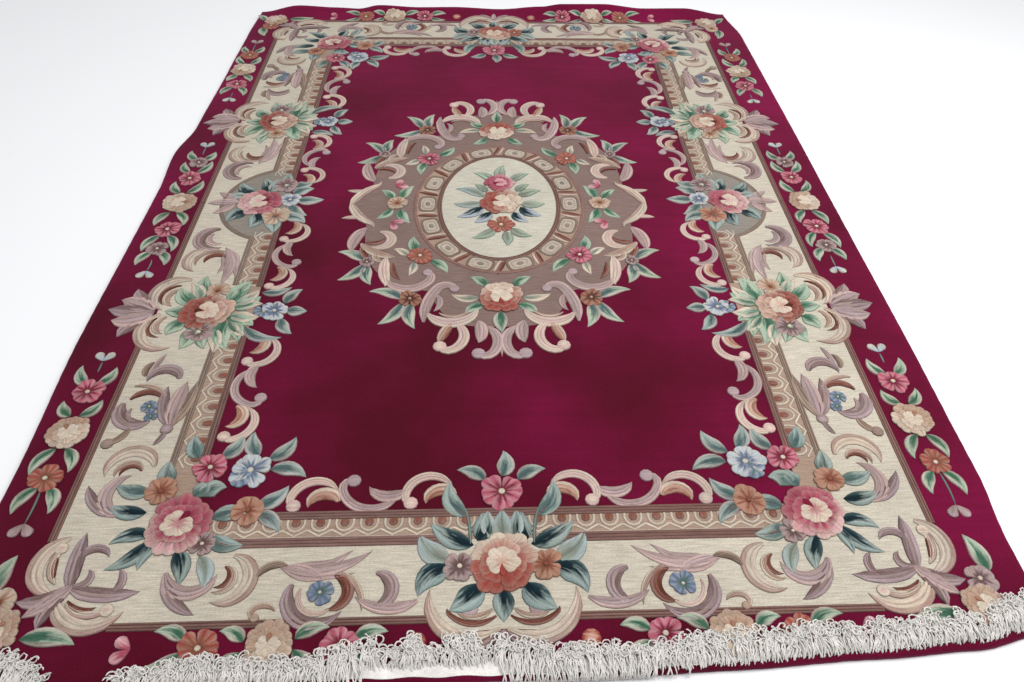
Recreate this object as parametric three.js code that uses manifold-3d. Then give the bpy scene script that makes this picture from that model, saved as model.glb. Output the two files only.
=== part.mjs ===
// A hand-carved wool rug with a cotton fringe along one end, lying on a floor.
// Millimetres, +Z up. +Y runs along the rug, away from the fringed end, and the
// origin is under the middle of the medallion, on the floor.
import * as THREE from 'three';
import { mergeVertices } from 'three/addons/utils/BufferGeometryUtils.js';
import Module from 'manifold-3d';

const wasm = await Module();
wasm.setup();

// Driving dimensions
const GAP = 0.3;                                   // clear space between neighbouring pieces
const RUG = { thickness: 12, rim: 4, wall: 8 };    // rim: how far the pile leans in above the wall
const CARVING = { proud: 1.2, sunk: 4 };           // how far a raised form stands out of the pile and reaches into it
const LIFT_FROM = 1185;                            // the far end leaves the floor from here on
const FRAME = { halfWidth: 785, halfLength: 1172, line: 13, cornerCut: 92 };
const BAND = { halfWidth: 620, halfLength: 1026, line: 11 };
const FIELD = { halfWidth: 547, halfLength: 958, line: 16 };
const NICHE = { halfWidth: 606, radius: 134 };     // the half-round plaque in the middle of each side
const MEDALLION = { halfWidth: 372, halfLength: 470, lobes: 14, lobeDepth: 20 };
const RING = { halfWidth: 226, halfLength: 296, line: 14, bandWidth: 66 };
const FRINGE = { locks: 104, thickness: 5, stripWidth: 6, stripHeight: 3, overPile: 1.1, ends: 8 };
const WEB = { from: -236, to: 6, width: 30, thickness: 2, riser: 12 };

// The two long edges, row by row from the fringed end: half of the rug to each side
const SIDES = [
  { y: -1262, left: 912, right: 903 },
  { y: -1050, left: 906, right: 905 },
  { y: -900, left: 903, right: 918 },
  { y: -500, left: 917, right: 922 },
  { y: 60, left: 914, right: 922 },
  { y: 243, left: 924, right: 923 },
  { y: 400, left: 899, right: 923 },
  { y: 780, left: 891, right: 922 },
  { y: 1060, left: 887, right: 921 },
  { y: 1276, left: 878, right: 892 },
];
// The fringed edge, and how far its fringe lies back over the pile
const NEAR_END = [
  { x: -912, y: -1256, reach: 52 },
  { x: -760, y: -1260, reach: 50 },
  { x: -680, y: -1262, reach: 24 },
  { x: -560, y: -1264, reach: 27 },
  { x: -480, y: -1265, reach: 44 },
  { x: -320, y: -1267, reach: 38 },
  { x: -220, y: -1268, reach: 60 },
  { x: 0, y: -1268, reach: 66 },
  { x: 90, y: -1267, reach: 46 },
  { x: 220, y: -1266, reach: 46 },
  { x: 350, y: -1262, reach: 64 },
  { x: 600, y: -1251, reach: 60 },
  { x: 760, y: -1242, reach: 60 },
  { x: 903, y: -1216, reach: 70 },
];
// The far edge, and how high it stands off the floor
const FAR_END = [
  { x: -878, y: 1256, lift: 0 },
  { x: -752, y: 1269, lift: 21 },
  { x: -600, y: 1266, lift: 15 },
  { x: -515, y: 1264, lift: 12 },
  { x: -445, y: 1270, lift: 24 },
  { x: -290, y: 1267, lift: 18 },
  { x: -150, y: 1267, lift: 20 },
  { x: 20, y: 1265, lift: 14 },
  { x: 180, y: 1270, lift: 23 },
  { x: 262, y: 1274, lift: 32 },
  { x: 420, y: 1274, lift: 33 },
  { x: 577, y: 1268, lift: 20 },
  { x: 737, y: 1270, lift: 21 },
  { x: 892, y: 1260, lift: 2 },
];
// Flower heads with their leaves, in one quarter of the rug; each is mirrored to the others
const BOUQUETS = [
  { x: 572, y: 982, head: 56, leaf: 78, leaves: 7, turn: 20 },
  { x: 463, y: 865, head: 31, leaf: 62, leaves: 5, turn: 62 },
  { x: 665, y: 428, head: 52, leaf: 76, leaves: 7, turn: 0 },
  { x: 512, y: 428, head: 27, leaf: 54, leaves: 5, turn: 0 },
  { x: 632, y: 0, head: 46, leaf: 74, leaves: 7, turn: 0 },
  { x: 0, y: 1066, head: 56, leaf: 78, leaves: 9, turn: 90 },
  { x: 0, y: 928, head: 36, leaf: 66, leaves: 5, turn: 90 },
  { x: 0, y: 385, head: 48, leaf: 54, leaves: 7, turn: 90 },
  { x: 0, y: 0, head: 44, leaf: 84, leaves: 9, turn: 90 },
];

const COLOURS = { burgundy: 0x6a1230, cotton: 0xd9d3c6 };

// Small helpers

const lerp = THREE.MathUtils.lerp;
const radians = THREE.MathUtils.degToRad;

// Reads a column of a table at a place, eased from row to row
function read(rows, along, column, place) {
  const last = rows.length - 1;
  if (place <= rows[0][along]) return rows[0][column];
  if (place >= rows[last][along]) return rows[last][column];
  const next = rows.findIndex((row) => row[along] >= place);
  const [a, b] = [rows[next - 1], rows[next]];
  const share = (place - a[along]) / (b[along] - a[along]);
  return lerp(a[column], b[column], THREE.MathUtils.smoothstep(share, 0, 1));
}

// A repeatable scatter value from 0 to 1 for a whole number
function scatter(number, salt = 0) {
  const wave = Math.sin(number * 12.9898 + salt * 78.233) * 43758.5453;
  return wave - Math.floor(wave);
}

// A closed three.js geometry as a solid that can be joined and cut
function solid(geometry) {
  geometry.deleteAttribute('normal');
  geometry.deleteAttribute('uv');
  const merged = mergeVertices(geometry, 1e-3);
  return new wasm.Manifold(new wasm.Mesh({
    numProp: 3,
    vertProperties: new Float32Array(merged.attributes.position.array),
    triVerts: new Uint32Array(merged.index.array),
  }));
}

// A solid as a three.js geometry again
function geometryOf(manifold) {
  const { vertProperties, triVerts } = manifold.getMesh();
  const geometry = new THREE.BufferGeometry();
  geometry.setAttribute('position', new THREE.BufferAttribute(vertProperties, 3));
  geometry.setIndex(new THREE.BufferAttribute(triVerts, 1));
  geometry.computeVertexNormals();
  return geometry;
}

// The slab

const COLUMNS = 30;
const nearLeft = -read(SIDES, 'y', 'left', SIDES[0].y);
const nearRight = read(SIDES, 'y', 'right', SIDES[0].y);

// The fringed edge as the slab's straight runs from column to column
const nearLine = Array.from({ length: COLUMNS + 1 }, (_, k) => {
  const x = lerp(nearLeft, nearRight, k / COLUMNS);
  return [x, read(NEAR_END, 'x', 'y', x)];
});

function nearEdge(x) {
  const place = THREE.MathUtils.clamp((x - nearLeft) / (nearRight - nearLeft), 0, 1) * COLUMNS;
  const k = Math.min(Math.floor(place), COLUMNS - 1);
  return lerp(nearLine[k][1], nearLine[k + 1][1], place - k);
}

// A point of the rug's plan: column counts from the left edge, t runs from the near to the far end
function planPoint(column, t) {
  const [x, near] = nearLine[column];
  const y = lerp(near, read(FAR_END, 'x', 'y', x), t);
  if (t === 0) return [x, y];
  return [lerp(-read(SIDES, 'y', 'left', y), read(SIDES, 'y', 'right', y), column / COLUMNS), y];
}

// How far the cloth stands off the floor: nothing but the far end's waves
function lift(x, y) {
  if (y <= LIFT_FROM) return 0;
  const share = (y - LIFT_FROM) / (read(FAR_END, 'x', 'y', x) - LIFT_FROM);
  return read(FAR_END, 'x', 'lift', x) * share ** 1.3;
}

function makeSlab() {
  const columns = COLUMNS;
  const flatRows = 10;
  const wavyRows = 4;
  const flatShare = (LIFT_FROM + 1262) / (1266 + 1262);
  const places = [];
  for (let row = 0; row <= flatRows; row += 1) places.push(flatShare * row / flatRows);
  for (let row = 1; row <= wavyRows; row += 1) places.push(lerp(flatShare, 1, row / wavyRows));

  const points = [];
  const triangles = [];
  const bottom = (i, j) => (j * (columns + 1) + i) * 2;
  const top = (i, j) => bottom(i, j) + 1;
  const inset = { x: 1 - RUG.rim / 915, y: 1 - RUG.rim / 1266 };
  places.forEach((t) => {
    for (let i = 0; i <= columns; i += 1) {
      const [x, y] = planPoint(i, t);
      const z = lift(x, y);
      points.push([x, y, z], [x * inset.x, y * inset.y, z + RUG.thickness]);
    }
  });
  const quad = (a, b, c, d) => triangles.push(a, b, c, a, c, d);
  const rows = places.length - 1;
  for (let j = 0; j < rows; j += 1) {
    for (let i = 0; i < columns; i += 1) {
      quad(top(i, j), top(i + 1, j), top(i + 1, j + 1), top(i, j + 1));
      quad(bottom(i, j), bottom(i, j + 1), bottom(i + 1, j + 1), bottom(i + 1, j));
    }
  }
  // The walls: upright to the height of the wall, then leaning in with the pile
  const rim = [];
  for (let i = 0; i < columns; i += 1) rim.push([i, 0]);
  for (let j = 0; j < rows; j += 1) rim.push([columns, j]);
  for (let i = columns; i > 0; i -= 1) rim.push([i, rows]);
  for (let j = rows; j > 0; j -= 1) rim.push([0, j]);
  const wallStart = points.length;
  rim.forEach(([i, j]) => {
    const [x, y, z] = points[bottom(i, j)];
    points.push([x, y, z + RUG.wall]);
  });
  rim.forEach(([i, j], k) => {
    const next = (k + 1) % rim.length;
    const [ni, nj] = rim[next];
    quad(bottom(i, j), bottom(ni, nj), wallStart + next, wallStart + k);
    quad(wallStart + k, wallStart + next, top(ni, nj), top(i, j));
  });
  const geometry = new THREE.BufferGeometry();
  geometry.setAttribute('position', new THREE.Float32BufferAttribute(points.flat(), 3));
  geometry.setIndex(triangles);
  return solid(geometry);
}

// The carved relief

// An outline raised out of the pile
function raised(shape, proud = CARVING.proud) {
  const geometry = new THREE.ExtrudeGeometry(shape, {
    depth: CARVING.sunk + proud, bevelEnabled: false, curveSegments: 12,
  });
  geometry.translate(0, 0, RUG.thickness - CARVING.sunk);
  return solid(geometry);
}

function outline(points) {
  return new THREE.Shape(points.map(([x, y]) => new THREE.Vector2(x, y)));
}

function rectangle(halfWidth, halfLength, cut = 0) {
  const w = halfWidth;
  const l = halfLength;
  if (cut === 0) return outline([[-w, -l], [w, -l], [w, l], [-w, l]]);
  return outline([
    [-w, -l + cut], [-w + cut, -l], [w - cut, -l], [w, -l + cut],
    [w, l - cut], [w - cut, l], [-w + cut, l], [-w, l - cut],
  ]);
}

function ellipse(halfWidth, halfLength, centre = [0, 0], steps = 28) {
  return outline(Array.from({ length: steps }, (_, k) => {
    const angle = k / steps * 2 * Math.PI;
    return [centre[0] + halfWidth * Math.cos(angle), centre[1] + halfLength * Math.sin(angle)];
  }));
}

// An outline that swells out in equal lobes, like a flower head or the medallion's edge
function lobed(halfWidth, halfLength, lobes, depth, centre = [0, 0], turn = 0, stepsPerLobe = 4) {
  const steps = lobes * stepsPerLobe;
  return outline(Array.from({ length: steps }, (_, k) => {
    const angle = k / steps * 2 * Math.PI;
    const swell = 1 - depth * (1 - Math.abs(Math.sin(angle * lobes / 2)));
    const [x, y] = [halfWidth * swell * Math.cos(angle), halfLength * swell * Math.sin(angle)];
    return [
      centre[0] + x * Math.cos(turn) - y * Math.sin(turn),
      centre[1] + x * Math.sin(turn) + y * Math.cos(turn),
    ];
  }));
}

// Pointed leaves all round a flower head, as one outline
function leafCrown({ head, leaf, leaves }, centre, turn) {
  const points = [];
  const place = (radius, angle) => points.push([
    centre[0] + radius * Math.cos(angle), centre[1] + radius * Math.sin(angle),
  ]);
  const share = 2 * Math.PI / leaves;
  for (let k = 0; k < leaves; k += 1) {
    const angle = turn + (k + 0.5) * share;
    place(head * 0.85, angle - share / 2);
    place(head * 0.7 + leaf * 0.55, angle - share * 0.3);
    place(head * 0.7 + leaf, angle);
    place(head * 0.7 + leaf * 0.55, angle + share * 0.3);
  }
  return outline(points);
}

const union = (solids) => wasm.Manifold.union(solids);

// The rounded scrolls that break the frame's outer line at its corners, sides and ends
function frameScrolls(inset) {
  const round = (x, y, radius) => raised(ellipse(radius - inset, radius - inset, [x, y], 10));
  const scrolls = [];
  for (const sx of [-1, 1]) {
    for (const sy of [-1, 1]) {
      scrolls.push(round(sx * 742, sy * 1052, 54), round(sx * 672, sy * 1128, 54));
      scrolls.push(round(sx * 752, sy * 372, 56), round(sx * 752, sy * 484, 56));
      scrolls.push(round(sx * 68, sy * 1128, 62));
    }
  }
  return scrolls;
}

function frameLine() {
  const plate = (inset) => union([
    raised(rectangle(FRAME.halfWidth - inset, FRAME.halfLength - inset, FRAME.cornerCut)),
    ...frameScrolls(inset),
  ]);
  return plate(0).subtract(plate(FRAME.line));
}

function bandLine() {
  const plate = (inset) => union([
    raised(rectangle(BAND.halfWidth - inset, BAND.halfLength - inset)),
    ...[-1, 1].map((side) => raised(
      ellipse(NICHE.radius - inset, NICHE.radius - inset, [side * NICHE.halfWidth, 0], 20),
    )),
  ]);
  return plate(0).subtract(plate(BAND.line));
}

function fieldLine() {
  const inner = raised(rectangle(FIELD.halfWidth, FIELD.halfLength));
  const outer = raised(rectangle(FIELD.halfWidth + FIELD.line, FIELD.halfLength + FIELD.line));
  return outer.subtract(inner);
}

function medallion() {
  const plate = raised(lobed(
    MEDALLION.halfWidth, MEDALLION.halfLength, MEDALLION.lobes,
    MEDALLION.lobeDepth / MEDALLION.halfWidth * 2,
  ), CARVING.proud / 2);
  const oval = (inset) => raised(ellipse(RING.halfWidth - inset, RING.halfLength - inset));
  const outerLine = oval(0).subtract(oval(RING.line));
  const innerLine = oval(RING.bandWidth).subtract(oval(RING.bandWidth + RING.line));
  return [plate, outerLine, innerLine];
}

// A flower head with leaves all round it, in all the mirrored places
function bouquet(row) {
  const solids = [];
  for (const sx of row.x === 0 ? [1] : [-1, 1]) {
    for (const sy of row.y === 0 ? [1] : [-1, 1]) {
      const centre = [sx * row.x, sy * row.y];
      const facing = Math.atan2(sy * Math.sin(radians(row.turn)), sx * Math.cos(radians(row.turn)));
      solids.push(raised(leafCrown(row, centre, facing)));
      solids.push(raised(lobed(row.head, row.head, 7, 0.24, centre, facing, 2), CARVING.proud * 2));
    }
  }
  return solids;
}

function makeRug() {
  return makeSlab().add(union([
    frameLine(), bandLine(), fieldLine(), ...medallion(), ...BOUQUETS.flatMap(bouquet),
  ]));
}

// The fringe

// A rod of triangular section along a smooth path
function rod(points, thickness, steps) {
  const radius = thickness / 2;
  const section = outline([0, 1, 2].map((k) => {
    const angle = radians(90 + 120 * k);
    return [radius * Math.cos(angle), radius * Math.sin(angle)];
  }));
  const path = new THREE.CatmullRomCurve3(points.map((point) => new THREE.Vector3(...point)));
  return solid(new THREE.ExtrudeGeometry(section, { extrudePath: path, steps, bevelEnabled: false }));
}

const inWeb = (x) => x > WEB.from - WEB.riser && x < WEB.to + WEB.riser;

// One lock: up the rug's near face from the strip, over its edge and back along the pile
function lock(index) {
  const spacing = (nearRight - nearLeft - 2 * FRINGE.ends) / FRINGE.locks;
  const x = nearLeft + FRINGE.ends + (index + 0.5) * spacing;
  const edge = nearEdge(x);
  const half = FRINGE.thickness / 2;
  const reach = read(NEAR_END, 'x', 'reach', x) * lerp(0.82, 1.05, scatter(index, 1));
  const sway = (salt) => (scatter(index, salt) - 0.5) * (spacing - FRINGE.thickness) * 0.8;
  const overPile = RUG.thickness + CARVING.proud + FRINGE.overPile + half;
  const rise = 2.5 * scatter(index, 5);
  const back = [
    [x + sway(2), edge + reach * 0.35, overPile],
    [x + sway(3), edge + reach * 0.7, overPile + rise],
    [x + sway(4), edge + reach, overPile + rise * 0.5],
  ];
  if (inWeb(x)) {
    const start = WEB.width - 4;
    return rod([
      [x, edge + start, overPile],
      [x + sway(2), edge + lerp(start, reach, 0.5), overPile + rise],
      [x + sway(4), edge + reach, overPile],
    ], FRINGE.thickness, 2);
  }
  const front = edge - GAP - FRINGE.stripWidth + half;
  return rod([[x, front, FRINGE.stripHeight / 3], [x, front, RUG.wall], [x, edge + 1, overPile + 1], ...back],
    FRINGE.thickness, 5);
}

// The strip that holds the locks' roots, on the floor along the rug's near face
function strip() {
  const plan = [
    ...nearLine.map(([x, y]) => [x, y - GAP - FRINGE.stripWidth]),
    ...nearLine.map(([x, y]) => [x, y - GAP]).reverse(),
  ];
  const geometry = new THREE.ExtrudeGeometry(outline(plan), {
    depth: FRINGE.stripHeight, bevelEnabled: false,
  });
  return solid(geometry);
}

// A stretch of woven web that lies flat on the pile, and the two risers that carry it
function web() {
  const low = RUG.thickness + CARVING.proud + FRINGE.overPile;
  const panel = (from, to, profile) => {
    const geometry = new THREE.ExtrudeGeometry(outline(profile), { depth: to - from, bevelEnabled: false });
    geometry.rotateX(Math.PI / 2);
    geometry.rotateZ(Math.PI / 2);
    geometry.translate(from, 0, 0);
    return solid(geometry);
  };
  const edge = nearEdge(WEB.from);
  const t = WEB.thickness;
  const flat = [
    [edge + 3, low], [edge + WEB.width, low], [edge + WEB.width, low + t], [edge + 3, low + t],
  ];
  const front = edge - GAP - FRINGE.stripWidth;
  const riser = [
    [front, 1], [front + t, 1], [front + t, low], [edge + 8, low], [edge + 8, low + t], [front, low + t],
  ];
  return [
    panel(WEB.from, WEB.to, flat),
    panel(WEB.from - WEB.riser, WEB.from + 2, riser),
    panel(WEB.to - 2, WEB.to + WEB.riser, riser),
    panel(WEB.from - WEB.riser, WEB.to + WEB.riser, flat),
  ];
}

function makeFringe() {
  const locks = Array.from({ length: FRINGE.locks }, (_, index) => lock(index));
  return union([strip(), ...web(), ...locks]);
}

// The part

function piece(name, manifold, colour, roughness) {
  const material = new THREE.MeshStandardMaterial({ color: colour, roughness, metalness: 0 });
  const mesh = new THREE.Mesh(geometryOf(manifold), material);
  mesh.name = name;
  return mesh;
}

const part = new THREE.Group();
part.add(piece('rug', makeRug(), COLOURS.burgundy, 0.95));
part.add(piece('fringe', makeFringe(), COLOURS.cotton, 0.9));

export default part;
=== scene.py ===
"""A hand-carved wool rug with a cotton fringe, dressed for rendering.

The rug's pile is one closed sheet. Its pattern is carved on it in low relief: every leaf,
petal, scroll and moulding is a shape of its own, drawn by a function from a few sizes in
millimetres of the rug's plan and mirrored into the quarters of the rug.
"""
import cmath
import math
import random

import bmesh
import bpy
from bpy.props import FloatProperty, FloatVectorProperty, IntProperty, PointerProperty
from mathutils import Matrix, Vector
from mathutils.geometry import tessellate_polygon


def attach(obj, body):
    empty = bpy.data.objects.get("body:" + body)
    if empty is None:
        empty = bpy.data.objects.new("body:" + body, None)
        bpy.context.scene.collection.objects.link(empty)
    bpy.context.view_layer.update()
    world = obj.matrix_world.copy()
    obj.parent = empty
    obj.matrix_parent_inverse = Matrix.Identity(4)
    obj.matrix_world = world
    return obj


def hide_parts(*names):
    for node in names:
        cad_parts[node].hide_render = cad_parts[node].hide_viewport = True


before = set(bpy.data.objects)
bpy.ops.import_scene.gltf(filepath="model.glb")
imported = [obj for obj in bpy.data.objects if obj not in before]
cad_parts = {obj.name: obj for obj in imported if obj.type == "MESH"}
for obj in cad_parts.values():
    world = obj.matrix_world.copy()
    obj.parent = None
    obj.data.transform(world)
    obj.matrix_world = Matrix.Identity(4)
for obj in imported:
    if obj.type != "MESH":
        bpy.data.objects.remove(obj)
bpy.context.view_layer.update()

bl_info = {
    "name": "Carved rug",
    "version": (1, 0, 0),
    "blender": (4, 5, 0),
    "location": "View3D > Sidebar > Rug",
    "description": "Dresses a carved wool rug: its pile, its carved pattern and its fringe",
    "category": "Object",
}

MM = 0.001

# Yarn colours in daylight, as red, green and blue from 0 to 255
YARNS = {
    "burgundy": (114, 12, 55),
    # the field burgundy in painted shade: the dark end of its painted light and nap
    "burgundy_shade": (72, 8, 25),
    "cream": (187, 178, 162),
    "ivory": (186, 181, 166),
    "beige": (154, 131, 115),
    "stone": (132, 124, 115),
    "oat": (160, 147, 134),
    "putty": (174, 160, 146),
    "moulding": (122, 93, 86),
    "moulding_dark": (78, 53, 48),
    "greige": (138, 120, 108),
    "greige_dark": (98, 80, 70),
    "taupe": (124, 102, 96),
    "mauve": (147, 126, 121),
    "mauve_dark": (98, 75, 73),
    "lilac": (164, 143, 145),
    "blush": (190, 163, 156),
    "blush_dark": (148, 115, 107),
    "tan": (164, 139, 121),
    "brown": (128, 76, 59),
    "brown_dark": (80, 38, 30),
    "rose_deep": (112, 26, 48),
    "rose": (160, 76, 94),
    "rose_pale": (198, 152, 156),
    "coral": (138, 62, 54),
    "peach": (182, 142, 126),
    "butter": (196, 181, 163),
    "teal_deep": (24, 42, 48),
    "teal": (82, 102, 100),
    "teal_pale": (146, 158, 152),
    "green": (68, 104, 84),
    "green_pale": (156, 170, 150),
    "sage": (132, 137, 124),
    "blue": (88, 102, 126),
    "blue_pale": (168, 173, 180),
    "amber": (150, 110, 88),
}


def linear(name):
    """A yarn's colour in linear light."""
    shares = (channel / 255 for channel in YARNS[name])
    return tuple(c / 12.92 if c <= 0.04045 else ((c + 0.055) / 1.055) ** 2.4 for c in shares)


LINEAR = {name: linear(name) for name in YARNS}


def mix(a, b, share):
    share = min(1.0, max(0.0, share))
    return tuple(p + (q - p) * share for p, q in zip(a, b))


def ease(share):
    share = min(1.0, max(0.0, share))
    return share * share * (3 - 2 * share)


# The rug's outline and lie, in millimetres: the same outline as in the construction model
SIDES = (
    # y, left, right
    (-1262, 912, 903),
    (-1050, 906, 905),
    (-900, 903, 918),
    (-500, 917, 922),
    (60, 914, 922),
    (243, 924, 923),
    (400, 899, 923),
    (780, 891, 922),
    (1060, 887, 921),
    (1276, 878, 892),
)
NEAR_END = (
    # x, y, reach of the fringe over the pile, how far in it leaves the pile
    (-912, -1256, 54, 0),
    (-760, -1260, 58, 0),
    (-690, -1262, 12, 0),
    (-610, -1263, 12, 0),
    (-560, -1264, 30, 2),
    (-480, -1265, 46, 4),
    (-320, -1267, 42, 5),
    (-220, -1268, 68, 6),
    (0, -1268, 72, 6),
    (80, -1267, 50, 3),
    (140, -1267, 48, 0),
    (210, -1266, 48, 0),
    (250, -1265, 54, 8),
    (350, -1262, 64, 10),
    (600, -1251, 62, 12),
    (760, -1242, 62, 14),
    (903, -1216, 74, 15),
)
FAR_END = (
    # x, y, height off the floor
    (-878, 1256, 0),
    (-752, 1269, 21),
    (-600, 1266, 15),
    (-515, 1264, 12),
    (-445, 1270, 24),
    (-290, 1267, 18),
    (-150, 1267, 20),
    (20, 1265, 14),
    (180, 1270, 23),
    (262, 1274, 32),
    (420, 1274, 33),
    (577, 1268, 20),
    (737, 1270, 21),
    (892, 1260, 2),
)
THICKNESS = 12.0
LIFT_FROM = 1185.0
WEB_FROM, WEB_TO, WEB_WIDTH = -500.0, 894.0, 25.0
OPEN_FROM, OPEN_TO = -232.0, 2.0  # the stretch where no strands cover the web
BARE_REACH = 16.0  # where the fringe reaches less than this it has worn away
TUFT = 7  # strands that lie together


def read(rows, column, place):
    """A column of a table at a place, eased from row to row."""
    if place <= rows[0][0]:
        return rows[0][column]
    for a, b in zip(rows, rows[1:]):
        if place < b[0]:
            return a[column] + (b[column] - a[column]) * ease((place - a[0]) / (b[0] - a[0]))
    return rows[-1][column]


def lift(x, y):
    """How far the cloth stands off the floor: nothing but the far end's waves."""
    if y <= LIFT_FROM:
        return 0.0
    share = (y - LIFT_FROM) / (read(FAR_END, 1, x) - LIFT_FROM)
    return read(FAR_END, 2, x) * share**1.3


def pile_top(x, y):
    return lift(x, y) + THICKNESS


def sheet_point(across, along):
    """A point of the sheet's plan: across from the left edge, along from the fringed end."""
    left, right = -SIDES[0][1], SIDES[0][2]
    x = left + (right - left) * across
    near = read(NEAR_END, 1, x)
    y = near + (read(FAR_END, 1, x) - near) * along
    if along > 0:
        x = -read(SIDES, 1, y) + (read(SIDES, 2, y) + read(SIDES, 1, y)) * across
    return x, y


# Places and lines on the rug


class Spot:
    """A place that a motif is drawn at: where, which way, how large and whether mirrored."""

    def __init__(self, origin=(0, 0), along=(1, 0), across=(0, 1)):
        self.origin, self.along, self.across = origin, along, across
        self.size = math.hypot(*along)

    def turned(self, u, v):
        return (
            u * self.along[0] + v * self.across[0],
            u * self.along[1] + v * self.across[1],
        )

    def at(self, u, v):
        x, y = self.turned(u, v)
        return self.origin[0] + x, self.origin[1] + y

    def within(self, x, y, turn=0.0, size=1.0, flip=1):
        """A spot in this one's own measures, turned in degrees."""
        c, s = size * math.cos(math.radians(turn)), size * math.sin(math.radians(turn))
        return Spot(self.at(x, y), self.turned(c, s), self.turned(-flip * s, flip * c))


def quarters(x_signs=(1, -1), y_signs=(1, -1)):
    """The rug's quarters, each as a spot at the middle of the rug."""
    return [Spot(along=(sx, 0), across=(0, sy)) for sx in x_signs for sy in y_signs]


def smooth(points, steps):
    """A smooth line through given points, in equal shares of its run."""
    ends = [points[0], *points, points[-1]]
    spans = len(points) - 1
    line = []
    for k in range(steps + 1):
        place = k / steps * spans
        i = min(int(place), spans - 1)
        t = place - i
        line.append(
            tuple(
                0.5
                * (
                    2 * b
                    + (c - a) * t
                    + (2 * a - 5 * b + 4 * c - d) * t * t
                    + (3 * b - a - 3 * c + d) * t**3
                )
                for a, b, c, d in zip(*ends[i : i + 4])
            )
        )
    return line


def run_length(points):
    return sum(math.dist(a, b) for a, b in zip(points, points[1:]))


def stretched(values, count):
    """A short list of values stretched to count rows."""
    last = len(values) - 1
    out = []
    for k in range(count):
        place = k / (count - 1) * last
        i = min(int(place), last - 1)
        out.append(values[i] + (values[i + 1] - values[i]) * (place - i))
    return out


def arc(x, y, radius, start, stop, steps=8):
    """Points of an arc, its angles in degrees."""
    angles = [math.radians(start + (stop - start) * k / steps) for k in range(steps + 1)]
    return [(x + radius * math.cos(a), y + radius * math.sin(a)) for a in angles]


def oval(half_width, half_length, steps):
    return [(half_width * x, half_length * y) for x, y in arc(0, 0, 1, 0, 360, steps)[:-1]]


# Yarns across a shape: u runs from root to tip, v from one edge to the other. A paint gives
# two yarns and how far the second has taken over; the shader lets the two reach into each other.


def two_yarns(first, second, share, rim, rim_share):
    """Two yarns that meet, both of them edged with a third."""
    return mix(first, rim, rim_share), mix(second, rim, rim_share), min(1.3, max(-0.3, share))


def graded(deep, pale, start=0.2, end=0.8, rim=None, rim_share=0.0, lean=0.1):
    """Deep along the middle of the root, pale towards the tip, the edges and one side."""
    a, b, c = LINEAR[deep], LINEAR[pale], LINEAR[rim or pale]

    def paint(u, v):
        place = u * 0.8 + abs(v) * 0.3 + v * lean
        return two_yarns(a, b, (place - start) / (end - start), c, rim_share * ease((abs(v) - 0.5) / 0.3))

    return paint


def plain(name):
    return lambda u, v: two_yarns(LINEAR[name], LINEAR[name], 0.0, LINEAR[name], 0.0)


def railed(core, line):
    """One yarn with a line of another along each side."""
    a, b = LINEAR[core], LINEAR[line]

    def paint(u, v):
        colour = mix(b, a, ease((abs(abs(v) - 0.33) - 0.03) / 0.1))
        return two_yarns(colour, colour, 0.0, a, 0.0)

    return paint


def banded(core, outer, inner, tip):
    """Bands side by side: v is above 0 on the outside of the bend."""
    a, b, c, d = (LINEAR[name] for name in (core, outer, inner, tip))

    def paint(u, v):
        colour = mix(a, d, ease((u - 0.5) / 0.5))
        colour = mix(colour, b, 0.9 * ease((v - 0.2) / 0.35))
        colour = mix(colour, c, 0.9 * ease((-v - 0.15) / 0.3))
        return two_yarns(mix(colour, c, 0.3), mix(colour, b, 0.3), 0.5, a, 0.0)

    return paint


LEAVES = {
    # middle, edge, rim, share of the rim, lean to one side
    "deep": ("teal_deep", "teal_pale", "teal", 0.45, 0.3),
    "sea": ("teal", "teal_pale", "sage", 0.4, 0.16),
    "pale": ("sage", "teal_pale", "blue_pale", 0.4, 0.12),
    "green": ("green", "green_pale", "green_pale", 0.3, 0.2),
    "field": ("teal", "teal_pale", "blush", 0.5, 0.12),
    "guard": ("green", "green_pale", "blush", 0.65, 0.2),
    "ivory": ("teal_deep", "blue_pale", "teal", 0.3, 0.3),
    "moss": ("sage", "green_pale", "teal", 0.35, 0.15),
    "mint": ("teal", "green_pale", "blush", 0.7, 0.2),
    "fawn": ("sage", "butter", "butter", 0.5, 0.1),
}
SCROLLS = {
    # core, outside, inside, tip
    "blush": ("blush", "butter", "blush", "butter"),
    "rosy": ("butter", "blush_dark", "butter", "blush"),
    "lilac": ("lilac", "blush", "mauve", "lilac"),
    "mauve": ("mauve", "lilac", "mauve_dark", "lilac"),
    "greige": ("greige", "tan", "greige_dark", "mauve"),
    "tan": ("tan", "butter", "blush_dark", "tan"),
    "brown": ("brown", "blush_dark", "brown_dark", "brown"),
    "ember": ("peach", "butter", "brown", "peach"),
    "stem": ("sage", "teal", "teal", "sage"),
}
BLOOMS = {
    # heart of each petal, petal, rim, eye
    "pink": ("rose_deep", "rose", "rose_pale", "butter"),
    "coral": ("brown", "coral", "peach", "butter"),
    "orange": ("brown", "amber", "peach", "brown"),
    "tan": ("amber", "tan", "butter", "brown"),
    "mauve": ("mauve_dark", "mauve", "lilac", "butter"),
    "blue": ("blue", "blue_pale", "ivory", "ivory"),
    "deep_blue": ("teal", "blue", "blue_pale", "ivory"),
    "brown": ("brown_dark", "brown", "tan", "tan"),
}
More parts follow.
